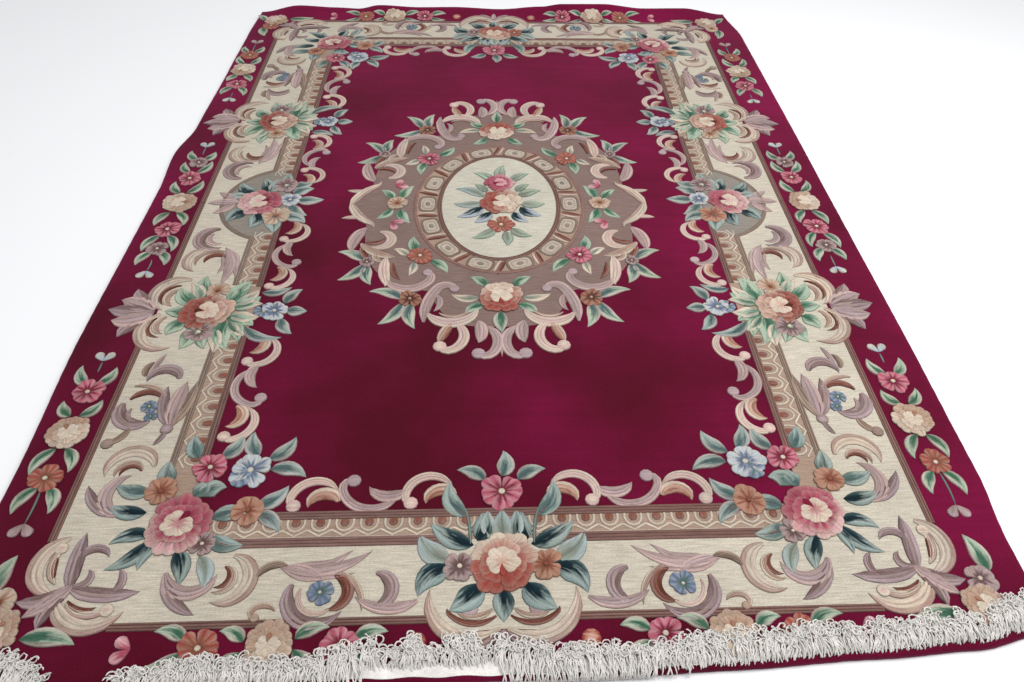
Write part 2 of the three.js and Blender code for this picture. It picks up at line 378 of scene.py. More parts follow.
ROSES = {
    # petals away from the facing side, towards it, inner petals, heart, slit
    "corner": ("rose_pale", "rose", "rose", "butter", "rose_deep"),
    "flank": ("peach", "coral", "peach", "butter", "brown_dark"),
    "niche": ("rose_pale", "rose", "rose_pale", "butter", "rose_deep"),
    "end": ("butter", "coral", "peach", "butter", "coral"),
    "guard": ("butter", "tan", "butter", "butter", "amber"),
    "guard_pink": ("rose_pale", "tan", "butter", "butter", "amber"),
    "cream": ("butter", "coral", "butter", "butter", "coral"),
    "peony": ("rose_pale", "rose", "rose", "rose_pale", "rose_deep"),
}


# Carving

# Places across the flat top, from the outside of the bend in: share, share of the height, shade
TOPS = {
    "plain": ((0.0, 1.0, 1.0),),
    "vein": ((0.5, 1.0, 1.0), (0.0, 0.6, 0.68), (-0.5, 1.0, 1.0)),
    "rails": ((0.58, 1, 1), (0.44, 0.7, 0.7), (0.3, 1, 1), (-0.3, 1, 1), (-0.44, 0.7, 0.7), (-0.58, 1, 1)),
    "strands": ((0.62, 1, 1), (0.42, 0.6, 0.62), (0.24, 1, 1), (-0.08, 1, 1), (-0.28, 0.6, 0.62), (-0.5, 1, 1)),
}


class Carving:
    """The carved shapes of one piece, gathered up and then made one mesh."""

    RIM = 2.4  # width of the shoulder that is carved round each shape
    SUNK = 1.4  # how far a shape's foot reaches into the pile

    def __init__(self, seed):
        self.points, self.faces, self.grain = [], [], []
        self.first, self.second, self.share = [], [], []
        self.dice = random.Random(seed)
        self.skein = 0.0

    def vertex(self, x, y, height, tint, grain=(0.0, 0.0)):
        self.points.append((x * MM, y * MM, (pile_top(x, y) + height) * MM))
        self.first.append((*tint[0], 1.0))
        self.second.append((*tint[1], 1.0))
        self.share.append(tint[2])
        self.grain.append((grain[0] * MM, grain[1] * MM, self.skein))
        return len(self.points) - 1

    def dye(self):
        """Each shape's yarn comes from its own dye lot and its own skein."""
        light = self.dice.uniform(0.93, 1.07)
        warm = self.dice.uniform(-0.02, 0.02)
        self.skein = self.dice.uniform(0.0, 50.0)
        return light * (1 + warm), light, light * (1 - warm)

    def tinted(self, yarns, lot, shade):
        first, second, share = yarns
        dyed = [tuple(c * w * shade for c, w in zip(colour, lot)) for colour in (first, second)]
        return *dyed, share

    def edge(self, half):
        """The shoulder of a shape: distance from its middle, share of the height, shade."""
        rim = min(self.RIM, half * 0.6)
        return [(half, -1.0, 0.4), (half - rim * 0.3, 0.6, 0.62), (half - rim, 0.93, 0.98)]

    def section(self, half, top):
        """A shape's places across, from the left foot to the right foot."""
        edge = self.edge(half)
        inner = edge[-1][0]
        middle = [(share * inner, rise, shade) for share, rise, shade in TOPS[top]]
        return edge + middle + [(-offset, rise, shade) for offset, rise, shade in edge[::-1]]

    def stitch(self, a, b):
        """Faces between two rows of a shape, each of them a ring or a single point."""
        count = max(len(a), len(b))
        for j in range(count):
            k = (j + 1) % count
            if len(a) == 1:
                self.faces.append((a[0], b[k], b[j]))
            elif len(b) == 1:
                self.faces.append((a[j], a[k], b[0]))
            else:
                self.faces.append((a[j], a[k], b[k], b[j]))

    def sides(self, line, closed=False):
        """The direction across a line at each of its points, towards the outside of its bend."""
        last = len(line) - 1
        tangents = []
        for i in range(last + 1):
            behind = line[i - 1] if closed or i else line[0]
            ahead = line[(i + 1) % len(line)] if closed else line[min(i + 1, last)]
            tangents.append(Vector((ahead[0] - behind[0], ahead[1] - behind[1])).normalized())
        turning = sum(a.x * b.y - a.y * b.x for a, b in zip(tangents, tangents[1:]))
        hand = -1 if turning > 0 else 1
        return [(-hand * t.y, hand * t.x) for t in tangents]

    def row(self, point, side, half, u, run, lot, paint, height, level, top):
        """One ring of vertices across a shape."""
        ring = []
        for offset, share, shade in self.section(half, top):
            rise = level - self.SUNK if share < 0 else level + height * share
            tint = self.tinted(paint(u, offset / half), lot, shade)
            x, y = point[0] + side[0] * offset, point[1] + side[1] * offset
            ring.append(self.vertex(x, y, rise, tint, (run, offset)))
        return ring

    def ribbon(self, spot, spine, halves, paint, height=2.0, level=0.0, top="plain"):
        """A shape along a line, as wide as its half widths say, and closed at both ends."""
        line = [spot.at(*p) for p in spine]
        last = len(line) - 1
        total = run_length(line)
        lot = self.dye()
        sides = self.sides(line)
        rows, run = [], 0.0
        for i, point in enumerate(line):
            run += math.dist(line[i - 1], point) if i else 0.0
            u = run / total
            half = halves[i] * spot.size
            # the poles at a shape's ends are painted in shade, at 0.7 of their yarns
            pole = self.tinted(paint(u, 0.0), lot, 0.7)
            if half >= 0.3:
                ring = self.row(point, sides[i], half, u, run, lot, paint, height, level, top)
                cap = [[self.vertex(*point, level + height * 0.5, pole, (run, 0.0))]] if i in (0, last) else []
                rows += [ring, *cap] if i else [*cap, ring]
            else:
                rows.append([self.vertex(*point, level + height * 0.3, pole, (run, 0.0))])
        for a, b in zip(rows, rows[1:]):
            self.stitch(a, b)

    def loop(self, spot, outline, half, paint, height=2.0, level=0.0, top="rails"):
        """A moulding round a closed line."""
        line = [spot.at(*p) for p in outline]
        lot = self.dye()
        rows, run = [], 0.0
        for i, (point, side) in enumerate(zip(line, self.sides(line, closed=True))):
            rows.append(self.row(point, side, half * spot.size, 0.0, run, lot, paint, height, level, top))
            run += math.dist(point, line[(i + 1) % len(line)])
        for a, b in zip(rows, rows[1:] + rows[:1]):
            self.stitch(a, b)

    def dome(self, spot, u, v, radius, paint, height=2.4, level=0.0, sides=10, stretch=1.0):
        """A round boss, such as a scroll's knob or a flower's eye."""
        lot = self.dye()
        r = radius * spot.size
        rows = []
        for ring, share, shade in self.edge(r):
            rise = level - self.SUNK if share < 0 else level + height * share
            tint = self.tinted(paint(ring / r, 0.0), lot, shade)
            line = [spot.at(u + x, v + y) for x, y in oval(ring / spot.size, ring * stretch / spot.size, sides)]
            rows.append([self.vertex(*point, rise, tint, point) for point in line])
        self.faces.append(tuple(rows[0]))
        centre = spot.at(u, v)
        rows.append([self.vertex(*centre, level + height, self.tinted(paint(0, 0), lot, 1), centre)])
        for a, b in zip(rows, rows[1:]):
            self.stitch(a, b)

    def plate(self, spot, outline, yarn, height=0.6, holes=()):
        """A flat ground inside an outline and clear of its holes."""
        loops = [[spot.at(*p) for p in loop] for loop in (outline, *holes)]
        flat = [p for loop in loops for p in loop]
        tint = plain(yarn)(0, 0)
        top = [self.vertex(*p, height, tint, p) for p in flat]
        foot = [self.vertex(*p, -self.SUNK, tint, p) for p in flat]
        for corners in tessellate_polygon([[Vector((*p, 0)) for p in loop] for loop in loops]):
            self.faces.append(tuple(top[i] for i in corners))
            self.faces.append(tuple(foot[i] for i in reversed(corners)))
        start = 0
        for loop in loops:
            for k in range(len(loop)):
                i, j = start + k, start + (k + 1) % len(loop)
                self.faces.append((foot[i], foot[j], top[j], top[i]))
            start += len(loop)

    def finish(self, name, material):
        mesh = bpy.data.meshes.new(name)
        mesh.from_pydata(self.points, [], self.faces)
        for layer, colours in (("first_yarn", self.first), ("second_yarn", self.second)):
            tints = mesh.color_attributes.new(layer, "FLOAT_COLOR", "POINT")
            tints.data.foreach_set("color", [c for tint in colours for c in tint])
        share = mesh.attributes.new("share", "FLOAT", "POINT")
        share.data.foreach_set("value", self.share)
        grain = mesh.attributes.new("grain", "FLOAT_VECTOR", "POINT")
        grain.data.foreach_set("vector", [c for g in self.grain for c in g])
        return place_piece(mesh, material)


def place_piece(mesh, material):
    """Turns a mesh's faces outwards, smooths it and puts it in the scene on the rug's body."""
    shape = bmesh.new()
    shape.from_mesh(mesh)
    bmesh.ops.recalc_face_normals(shape, faces=shape.faces)
    shape.to_mesh(mesh)
    shape.free()
    mesh.materials.append(material)
    piece = bpy.data.objects.new(mesh.name, mesh)
    bpy.context.collection.objects.link(piece)
    bpy.ops.object.select_all(action="DESELECT")
    piece.select_set(True)
    bpy.context.view_layer.objects.active = piece
    bpy.ops.object.shade_smooth_by_angle(angle=math.radians(62))
    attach(piece, "root")
    return piece


# Motifs


def leaf(carving, spot, root, tip, width, kind, bend=0.12, level=1.0, height=2.0):
    """A pointed leaf with a carved vein; bend is how far it bows, as a share of its length."""
    reach = (tip[0] - root[0], tip[1] - root[1])
    rows = 8
    spine, halves = [], []
    for k in range(rows + 1):
        u = k / rows
        bow = 4 * u * (1 - u) * bend
        spine.append((root[0] + reach[0] * u - reach[1] * bow, root[1] + reach[1] * u + reach[0] * bow))
        halves.append(width / 2 * math.sin(math.pi * u**0.78) ** 0.9 if 0 < k < rows else 0.0)
    middle, edge, rim, share, lean = LEAVES[kind]
    side = lean if bend > 0 else -lean
    paint = graded(middle, edge, 0.25, 0.75, rim, share, side)
    carving.ribbon(spot, spine, halves, paint, height, level, "vein")


def leaves(carving, spot, rows, level=1.0):
    for x0, y0, x1, y1, width, kind, bend in rows:
        leaf(carving, spot, (x0, y0), (x1, y1), width, kind, bend, level)


def petal(carving, spot, angle, start, stop, width, paint, level, height=1.8):
    """A petal that widens from its root to a round outer end."""
    rows, broadest = 6, 0.66
    spine, halves = [], []
    for k in range(rows + 1):
        u = math.sin(math.pi / 2 * k / rows) ** 1.1
        r = start + (stop - start) * u
        spine.append((r * math.cos(angle), r * math.sin(angle)))
        if u < broadest:
            share = (u / broadest) ** 0.6
        else:
            share = math.sqrt(max(0.0, 1 - ((u - broadest) / (1 - broadest)) ** 2))
        halves.append(width / 2 * share if 0 < k < rows else 0.0)
    carving.ribbon(spot, spine, halves, paint, height, level)


def notched(carving, spot, angle, start, stop, width, paint, level):
    """A petal of two lobes with a notch between them."""
    part = 0.26 * width / stop
    for side in (1, -1):
        reach = stop * carving.dice.uniform(0.88, 1.04)
        petal(carving, spot, angle + side * part, start, reach, width * 0.72, paint, level + 0.1 * side)


def blossom(carving, spot, x, y, radius, kind, turn=0.0, petals=5, level=1.6):
    """A small open flower with notched petals, a deep throat and an eye."""
    heart, colour, rim, eye = BLOOMS[kind]
    centre = spot.within(x, y)
    carving.dome(centre, 0, 0, radius * 0.5, plain(heart), 1.2, level - 0.4)
    for k in range(petals):
        angle = math.radians(turn) + 2 * math.pi * (k + carving.dice.uniform(-0.14, 0.14)) / petals
        width = radius * 4.6 / petals * carving.dice.uniform(0.88, 1.08)
        reach = radius * carving.dice.uniform(0.9, 1.08)
        deeper = carving.dice.uniform(-0.12, 0.2)
        tone = graded(heart, colour, 0.25 + deeper, 0.62 + deeper, rim, 0.6, carving.dice.uniform(-0.2, 0.2))
        notched(carving, centre, angle, radius * 0.12, reach, width, tone, level + 0.4 * (k % 2))
    carving.dome(centre, 0, 0, radius * 0.17, plain(eye), 1.4, level + 1.2, sides=8)


def rose_tone(deep, colour, pale, rolled=0.8):
    """A rose's petal: deep at the root and pale at its rolled edge."""

    def paint(u, v):
        edge = rolled * (ease((u - 0.74) / 0.2) + 0.6 * ease((abs(v) - 0.45) / 0.3))
        return two_yarns(deep, colour, (u - 0.25) / 0.45, pale, min(1.0, edge))

    return paint


# A rose's rings of petals: the loose outer ones, the ones inside them
ROSE_RINGS = (
    # count, root, reach, width, level
    (8, 0.3, 1.0, 0.7, 0.2),
    (6, 0.15, 0.76, 0.66, 1.1),
)
# The petals that wrap a rose's heart, fanned about the slit
ROSE_HEART = (
    # turn, reach, width
    (180, 0.5, 0.46),
    (140, 0.54, 0.4),
    (-136, 0.48, 0.44),
    (100, 0.46, 0.42),
    (-94, 0.5, 0.4),
    (58, 0.42, 0.42),
    (-64, 0.4, 0.4),
)


def rose(carving, spot, x, y, radius, kind, facing=0.0, level=1.8):
    """A cabbage rose: ruffled outer petals, inner petals and a fan of pale ones about a slit."""
    away, towards, inner, heart, slit = ROSES[kind]
    centre = spot.within(x, y, facing)
    far, near, core, pale, deep = (LINEAR[name] for name in (away, towards, inner, heart, slit))
    base = mix(mix(far, near, 0.5), deep, 0.75)
    carving.dome(centre, 0, 0, radius * 0.84, lambda u, v: (base, base, 0.0), 1.2, level, sides=16)
    for (count, start, stop, width, rise), (a, b) in zip(ROSE_RINGS, ((far, near), (core, near))):
        for k in range(count):
            angle = 2 * math.pi * (k + 0.5 + carving.dice.uniform(-0.16, 0.16)) / count
            faces = ease((0.5 + 0.5 * math.cos(angle)) * 1.25)
            colour = mix(mix(a, b, faces), deep, carving.dice.uniform(0.0, 0.5))
            edge = mix(colour, pale, 0.6 - 0.4 * faces)
            tone = rose_tone(mix(colour, deep, 0.85), colour, edge)
            reach = radius * stop * carving.dice.uniform(0.9, 1.05)
            place = level + rise + 0.35 * (k % 2)
            notched(carving, centre, angle, radius * start, reach, radius * width, tone, place)
    cup = centre.within(radius * 0.05, 0)
    for number, (turn, reach, broad) in enumerate(ROSE_HEART):
        tone = rose_tone(mix(pale, core, 0.75), mix(pale, core, 0.12), pale, 0.5)
        place = level + 2.1 + 0.12 * number
        petal(carving, cup, math.radians(turn), -radius * 0.08, radius * reach, radius * broad, tone, place, 1.4)
    line = [(radius * (-0.02 + 0.09 * k), radius * 0.03 * math.sin(k)) for k in range(6)]
    halves = stretched((0, radius * 0.05, radius * 0.09, radius * 0.12, 0), 6)
    carving.ribbon(cup, line, halves, plain(slit), 0.9, level + 3.4)


def bowed(root, tip, bow, steps):
    """An arc that bows to its left by a share of its length, and half of what it turns."""
    reach = tip - root
    half_turn = 2 * math.atan(2 * bow)
    swing = 0.5 / math.sin(half_turn)
    line = []
    for k in range(steps + 1):
        angle = half_turn * (1 - 2 * k / steps)
        line.append(root + reach * complex(0.5 - swing * math.sin(angle), bow - swing + swing * math.cos(angle)))
    return line, half_turn


def curled(place, heading, hand, curl, radius):
    """A curl that goes on from an arc and tightens; curl is in degrees, below 0 against the arc."""
    steps = max(3, round(abs(math.radians(curl)) * radius * 0.75 / STEP))
    turn = -hand * math.radians(curl) / steps
    line = []
    for k in range(steps):
        heading *= cmath.rect(1, turn / 2)
        place += heading * abs(turn) * radius * (1 - 0.5 * k / steps)
        heading *= cmath.rect(1, turn / 2)
        line.append(place)
    return line


# How a scroll swells from root to tip, as shares of its half width
POINTED = (0.3, 0.9, 1.0, 0.95, 0.7, 0.0)
HOOKED = (0.2, 0.85, 1.0, 1.0, 0.9, 0.6)
STEP = 8.0  # from one row of a scroll to the next


def scroll(carving, spot, kind, half, x0, y0, x1, y1, bow=0.0, curl=0, knob=0, level=0.0, height=2.0):
    """A scroll: an arc that may go on into a curl and may end in a round knob."""
    core, outer, inner, tip = SCROLLS[kind]
    root, end = complex(x0, y0), complex(x1, y1)
    bow = bow or 0.005
    length = abs(end - root)
    line, half_turn = bowed(root, end, bow, max(6, round(length * (1 + 2 * bow * bow) / STEP)))
    if curl:
        heading = (end - root) / length * cmath.rect(1, -half_turn)
        line += curled(end, heading, math.copysign(1, bow), curl, half * 1.8)
    spine = [(p.real, p.imag) for p in line]
    halves = [share * half for share in stretched(HOOKED if knob else POINTED, len(spine))]
    paint = banded(core, outer, inner, tip)
    carving.ribbon(spot, spine, halves, paint, height, level, "strands" if half >= 6 else "plain")
    if knob:
        carving.dome(spot, *spine[-1], knob, graded(tip, core, 0.2, 0.5), height + 0.5, level + 0.2)


def scrolls(carving, spot, rows, level=0.6):
    for row in rows:
        scroll(carving, spot, *row, level=level)
        level += 0.03


def acanthus(carving, spot, kind, half, x0, y0, x1, y1, bow, level=0.6):
    """A scroll leaf of three plumes that part towards their tips."""
    core, outer, inner, tip = SCROLLS[kind]
    line = [(p.real, p.imag) for p in bowed(complex(x0, y0), complex(x1, y1), bow, 12)[0]]
    normals = []
    for a, b in zip([line[0], *line], [*line[1:], line[-1]]):
        run = math.dist(a, b) or 1
        normals.append(((a[1] - b[1]) / run, (b[0] - a[0]) / run))
    for side, rows, body in ((1, 10, 0.46), (-1, 9, 0.46), (0, 12, 0.6)):
        part = []
        for k in range(rows + 1):
            share = k / rows
            push = side * half * (0.5 * ease(share / 0.4) + 0.55 * ease((share - 0.6) / 0.4))
            part.append((line[k][0] + normals[k][0] * push, line[k][1] + normals[k][1] * push))
        halves = stretched((0, 0.7 * body * half, body * half, body * half, 0.6 * body * half, 0), rows + 1)
        paint = banded(core, outer, inner, tip)
        carving.ribbon(spot, part, halves, paint, 2.0, level - 0.3 * abs(side), "vein" if side else "rails")


def plumes(carving, spot, rows, level=0.6):
    for row in rows:
        acanthus(carving, spot, *row, level)
        level += 0.05


# The corner, in one quarter of the rug
CORNER_LEAVES = (
    # root x, y, tip x, y, width, kind, bend
    (634, 956, 708, 940, 32, "deep", 0.1),
    (612, 1004, 680, 1020, 30, "deep", -0.15),
    (606, 1010, 672, 1068, 32, "deep", 0.12),
    (598, 1014, 616, 1070, 24, "deep", -0.1),
    (562, 1032, 540, 1100, 34, "deep", 0.1),
    (520, 1046, 500, 1110, 30, "pale", 0.15),
    (516, 972, 452, 962, 36, "sea", 0.12),
    (512, 1008, 446, 1026, 34, "sea", -0.12),
    (548, 925, 505, 905, 40, "sea", 0.2),
    (560, 925, 545, 885, 34, "sea", -0.1),
    (612, 900, 624, 842, 36, "sea", 0.08),
    (640, 912, 708, 894, 34, "sea", 0.12),
    (572, 838, 592, 782, 36, "sea", 0.1),
    (532, 838, 500, 784, 34, "field", -0.14),
    (460, 836, 480, 776, 34, "field", 0.14),
    (442, 844, 398, 790, 34, "field", -0.14),
    (434, 868, 364, 886, 34, "field", 0.16),
    (446, 948, 392, 904, 34, "field", -0.14),
    (440, 962, 392, 1004, 32, "field", 0.12),
)
CORNER_SCROLL = (
    # kind, half width, root x, y, tip x, y, bow to the left, curl in degrees, knob
    ("rosy", 14, 460, 1046, 482, 1130, 0.55),
    ("tan", 7, 466, 1066, 484, 1112, 0.5),
    ("brown", 6, 470, 1066, 482, 1104, 0.45),
    ("mauve", 12, 566, 1086, 500, 1152, -0.12),
    ("lilac", 14, 566, 1076, 480, 1080, -0.42),
)
CORNER_LOBES = (
    ("rosy", 15, 748, 1006, 730, 1110, -0.44),
    ("rosy", 15, 730, 1116, 614, 1142, -0.33),
    ("rosy", 8, 742, 1092, 756, 1026, 0.16, 0, 12),
    ("rosy", 8, 712, 1126, 642, 1140, -0.19, 0, 12),
    ("brown", 6, 756, 1042, 744, 1088, -0.1),
    ("brown", 6, 710, 1122, 660, 1134, -0.2),
    ("mauve", 9, 722, 1052, 670, 1044, 0.42),
    ("mauve", 8, 712, 1094, 696, 1066, -0.5),
    ("mauve", 8, 646, 1112, 646, 1066, -0.26),
    ("mauve", 14, 716, 1102, 724, 994, 0.03),
    ("mauve", 14, 716, 1100, 598, 1108, -0.08),
    ("mauve", 14, 718, 1102, 794, 1122, 0.12),
    ("mauve", 13, 716, 1102, 742, 1172, -0.12),
    ("lilac", 14, 712, 1096, 774, 1150, 0.02),
)


def corner(carving, spot):
    """The rose and its company at a corner of the frame."""
    leaves(carving, spot, CORNER_LEAVES)
    blossom(carving, spot, 622, 912, 32, "orange", 20)
    blossom(carving, spot, 456, 956, 34, "orange", 100, petals=4)
    blossom(carving, spot, 520, 1022, 24, "mauve", 40)
    blossom(carving, spot, 546, 860, 33, "pink", 10)
    blossom(carving, spot, 470, 868, 40, "blue", 54)
    blossom(carving, spot, 484, 884, 24, "deep_blue", -40, petals=3, level=1.4)
    rose(carving, spot, 572, 982, 62, "corner", facing=-120)


def corner_scrolls(carving, spot):
    scrolls(carving, spot, CORNER_LOBES)
    mirror = Spot(spot.at(-395, 395), spot.turned(0, 1), spot.turned(1, 0))
    for place in (spot, mirror):
        scrolls(carving, place, CORNER_SCROLL)


END_MOTIF = (
    ("mauve", 14, 352, 1102, 264, 1150, -0.46),
    ("blush", 6, 336, 1110, 280, 1142, -0.46),
    ("tan", 6, 272, 1082, 232, 1154, 0.14),
    ("brown", 11, 284, 1088, 292, 1148, 0.5),
    ("mauve", 13, 214, 1084, 222, 1146, 0.52),
    ("lilac", 11, 142, 1136, 246, 1126, 0.17),
    ("greige", 8, 366, 1068, 416, 1094, -0.25),
    ("tan", 6, 372, 1148, 406, 1142, -0.2, 150, 8),
    ("lilac", 10, 366, 1070, 300, 1096, 0.08),
)
END_PLUMES = (
    # kind, half width, root x, y, tip x, y, bow
    ("lilac", 20, 382, 1068, 224, 1042, -0.14),
)
FLANK_TO_CORNER = (
    ("mauve", 14, 666, 632, 730, 640, -0.5),
    ("lilac", 7, 728, 614, 712, 560, 0.06),
    ("greige", 8, 738, 624, 730, 582, 0.18),
    ("tan", 7, 750, 652, 674, 694, 0.2),
    ("brown", 9, 748, 688, 682, 690, 0.32),
    ("mauve", 17, 758, 698, 690, 744, -0.38),
    ("lilac", 6, 738, 712, 712, 744, -0.36),
    ("greige", 8, 726, 762, 756, 800, 0.14, 0, 13),
    ("mauve", 6, 668, 804, 654, 766, -0.08, 0, 13),
    ("mauve", 13, 656, 756, 682, 652, 0.08),
    ("greige", 12, 646, 756, 626, 640, -0.05),
    ("lilac", 18, 650, 760, 646, 640, 0.04),
)
NICHE_TO_FLANK = (
    ("mauve", 16, 704, 116, 684, 190, -0.7),
    ("lilac", 8, 716, 136, 686, 174, -0.45),
    ("brown", 9, 664, 232, 712, 252, -0.42),
    ("rosy", 14, 716, 200, 728, 284, -0.37),
    ("tan", 7, 672, 210, 730, 262, -0.36),
)
NICHE_PLUMES = (
    ("lilac", 23, 674, 190, 656, 334, 0.12),
)
FLANK_LEAVES = (
    (700, 428, 756, 424, 38, "green", 0.0),
    (694, 398, 742, 342, 42, "green", 0.14),
    (686, 386, 722, 326, 34, "fawn", -0.1),
    (672, 380, 690, 300, 42, "green", 0.12),
    (700, 458, 732, 502, 40, "green", -0.1),
    (682, 474, 692, 546, 44, "green", 0.12),
    (640, 480, 616, 562, 34, "fawn", 0.1),
    (652, 482, 638, 546, 32, "green", -0.1),
    (604, 404, 558, 352, 34, "fawn", -0.1),
    (612, 400, 580, 322, 48, "green", 0.1),
    (614, 398, 606, 320, 34, "green", -0.1),
    (612, 412, 550, 376, 44, "green", -0.1),
    (606, 420, 540, 402, 36, "fawn", 0.1),
    (606, 438, 540, 444, 40, "fawn", -0.1),
    (612, 448, 548, 474, 46, "green", 0.1),
    (606, 456, 556, 508, 34, "fawn", -0.1),
    (614, 456, 590, 550, 48, "green", -0.1),
    (608, 458, 572, 528, 36, "green", 0.12),
    (552, 362, 484, 344, 26, "field", -0.14),
    (566, 476, 478, 512, 30, "field", -0.2),
    (490, 402, 458, 352, 32, "field", 0.14),
    (484, 426, 436, 428, 34, "field", 0.0),
    (490, 450, 458, 502, 32, "field", -0.14),
)
FLANK_SCROLLS = (
    ("rosy", 15, 724, 316, 762, 420, -0.48),
    ("rosy", 15, 762, 434, 710, 540, -0.46),
    ("tan", 9, 742, 350, 744, 408, -0.36),
    ("tan", 9, 746, 442, 740, 498, -0.36),
    ("brown", 6, 742, 336, 764, 404, -0.36),
    ("brown", 6, 766, 446, 744, 508, -0.36),
    ("mauve", 19, 788, 416, 838, 346, 0.08),
    ("mauve", 19, 788, 440, 836, 506, -0.08),
    ("lilac", 24, 782, 422, 864, 384, -0.05),
    ("lilac", 24, 782, 434, 866, 452, 0.12),
    ("mauve", 24, 778, 428, 884, 416, 0.02),
)


def flank(carving, spot):
    """The bouquet a third of the way along a side."""
    leaves(carving, spot, FLANK_LEAVES)
    blossom(carving, spot, 654, 356, 32, "tan", 30)
    blossom(carving, spot, 662, 494, 34, "mauve", 15)
    blossom(carving, spot, 510, 426, 33, "blue", 36)
    blossom(carving, spot, 534, 426, 22, "deep_blue", 0, petals=3, level=1.4)
    rose(carving, spot, 660, 426, 62, "flank", facing=0)


NICHE_LEAVES = (
    (612, 50, 604, 112, 40, "pale", 0.1),
    (622, 44, 640, 114, 42, "deep", 0.14),
    (596, 60, 576, 142, 42, "sea", 0.1),
    (646, 38, 696, 98, 42, "deep", -0.14),
    (660, 20, 716, 34, 34, "pale", 0.1),
    (628, -44, 636, -112, 46, "deep", -0.14),
    (600, -56, 570, -136, 46, "sea", -0.1),
    (648, -34, 700, -86, 46, "deep", 0.14),
    (560, 80, 504, 96, 40, "field", 0.14),
    (548, 36, 496, 66, 40, "field", -0.12),
    (536, 12, 462, 14, 40, "field", 0.05),
    (548, -8, 496, -58, 40, "field", 0.14),
    (562, -62, 496, -92, 40, "field", -0.16),
)
NICHE_SCROLLS = (
    ("lilac", 13, 694, 10, 746, 48, 0.05),
    ("lilac", 15, 684, 2, 766, -2, 0.05),
    ("lilac", 13, 694, -8, 742, -48, -0.05),
)


def niche(carving, spot, variety):
    """The bouquet in the round niche at the middle of a side."""
    leaves(carving, spot, NICHE_LEAVES)
    blossom(carving, spot, 574, 80, 36, "mauve", 20)
    blossom(carving, spot, 576, -62, 38, variety, 60)
    blossom(carving, spot, 552, 12, 32, "blue", 0)
    scrolls(carving, spot, NICHE_SCROLLS)
    rose(carving, spot, 632, 2, 60, "niche", facing=165)


# The middle of an end; the second half is mirrored
END_LEAVES = (
    (44, 1028, 36, 968, 38, "deep", -0.1),
    (50, 1036, 128, 990, 38, "deep", 0.1),
    (88, 1066, 146, 1012, 44, "pale", 0.14),
    (84, 1078, 142, 1130, 46, "deep", -0.2),
    (38, 1108, 90, 1156, 46, "deep", 0.1),
    (14, 1026, 24, 964, 32, "pale", 0.1),
    (30, 900, 84, 876, 32, "field", -0.14),
    (60, 978, 94, 900, 36, "sea", 0.2),
)
END_SCROLLS = (
    ("rosy", 14, 6, 1188, 122, 1116, 0.36),
    ("brown", 6, 12, 1166, 90, 1160, 0.2, 60),
    ("tan", 6, 18, 1154, 76, 1160, 0.18),
    ("stem", 4, 56, 1034, 68, 956, -0.04),
    ("mauve", 9, 6, 1194, 54, 1222, 0.04),
)


def middle_of_end(carving, spot, variety):
    """The bouquet at the middle of an end, from the frame's edge into the field."""
    for half in (spot, spot.within(0, 0, 180, flip=-1)):
        leaves(carving, half, END_LEAVES)
        scrolls(carving, half, END_SCROLLS)
        carving.dome(half, 56, 1154, 15, graded("lilac", "mauve", 0.4, 0.9), 2.0, 0.2)
    scroll(carving, spot, "lilac", 10, 0, 1190, 0, 1232, level=0.2)
    leaf(carving, spot, (0, 1024), (0, 964), 36, "pale", 0.0, 1.2)
    leaf(carving, spot, (0, 1118), (0, 1178), 38, "deep", 0.0, 0.3)
    leaf(carving, spot, (0, 892), (4, 832), 36, "field", 0.12)
    blossom(carving, spot, -74, 1076, 31, "mauve", 10)
    blossom(carving, spot, 74, 1076, 31, variety, 30)
    blossom(carving, spot, 0, 926, 42, "pink", 90)
    rose(carving, spot, 0, 1070, 64, "end", facing=90)


# Scrolls along the field's edge: s runs along the edge and h from it into the field
FIELD_CHAIN = (
    ("ember", 14, 0, 26, 54, 8, 0.38),
    ("blush", 10, 6, 42, 92, 26, 0.4, 80, 14),
    ("lilac", 13, 92, 38, 160, 48, -0.26),
    ("lilac", 10, 104, 28, 208, 42, -0.34, 130, 14),
    ("ember", 14, 212, 16, 266, 4, 0.44),
    ("blush", 10, 216, 40, 300, 26, 0.34, 80, 14),
)

# Sprays outside the frame: along a line from the rose's middle
SPRAYS = {
    "side_middle": (
        # what, from, to, size or spread, kind
        ("leaves", 44, 104, 36, "guard"),
        ("flower", 116, 0, 34, "pink"),
        ("leaves", 142, 204, 36, "guard"),
        ("flower", 196, 0, 28, "mauve"),
        ("leaves", 208, 258, 34, "guard"),
        ("stem", 238, 282, 0, ""),
        ("heart", 292, 0, 22, "blue"),
    ),
    "to_corner": (
        ("leaves", 40, 100, 34, "guard"),
        ("flower", 108, 0, 32, "coral"),
        ("leaves", 128, 182, 32, "guard"),
        ("stem", 130, 208, 0, ""),
        ("heart", 216, 0, 23, "mauve"),
    ),
    "to_flank": (
        ("leaves", 40, 84, 38, "guard"),
        ("flower", 104, 0, 34, "pink"),
        ("leaves", 122, 176, 36, "guard"),
        ("stem", 160, 190, 0, ""),
        ("heart", 204, 0, 22, "blue"),
    ),
    "end_to_corner": (
        ("leaves", 40, 84, 26, "guard"),
        ("flower", 108, 0, 34, "coral"),
        ("leaves", 130, 186, 28, "guard"),
        ("heart", 224, 0, 24, "pink"),
    ),
    "end_to_middle": (
        ("leaves", 40, 92, 28, "guard"),
        ("flower", 112, 0, 34, "pink"),
        ("leaves", 134, 188, 18, "guard"),
        ("ball", 232, 0, 17, "coral"),
    ),
}


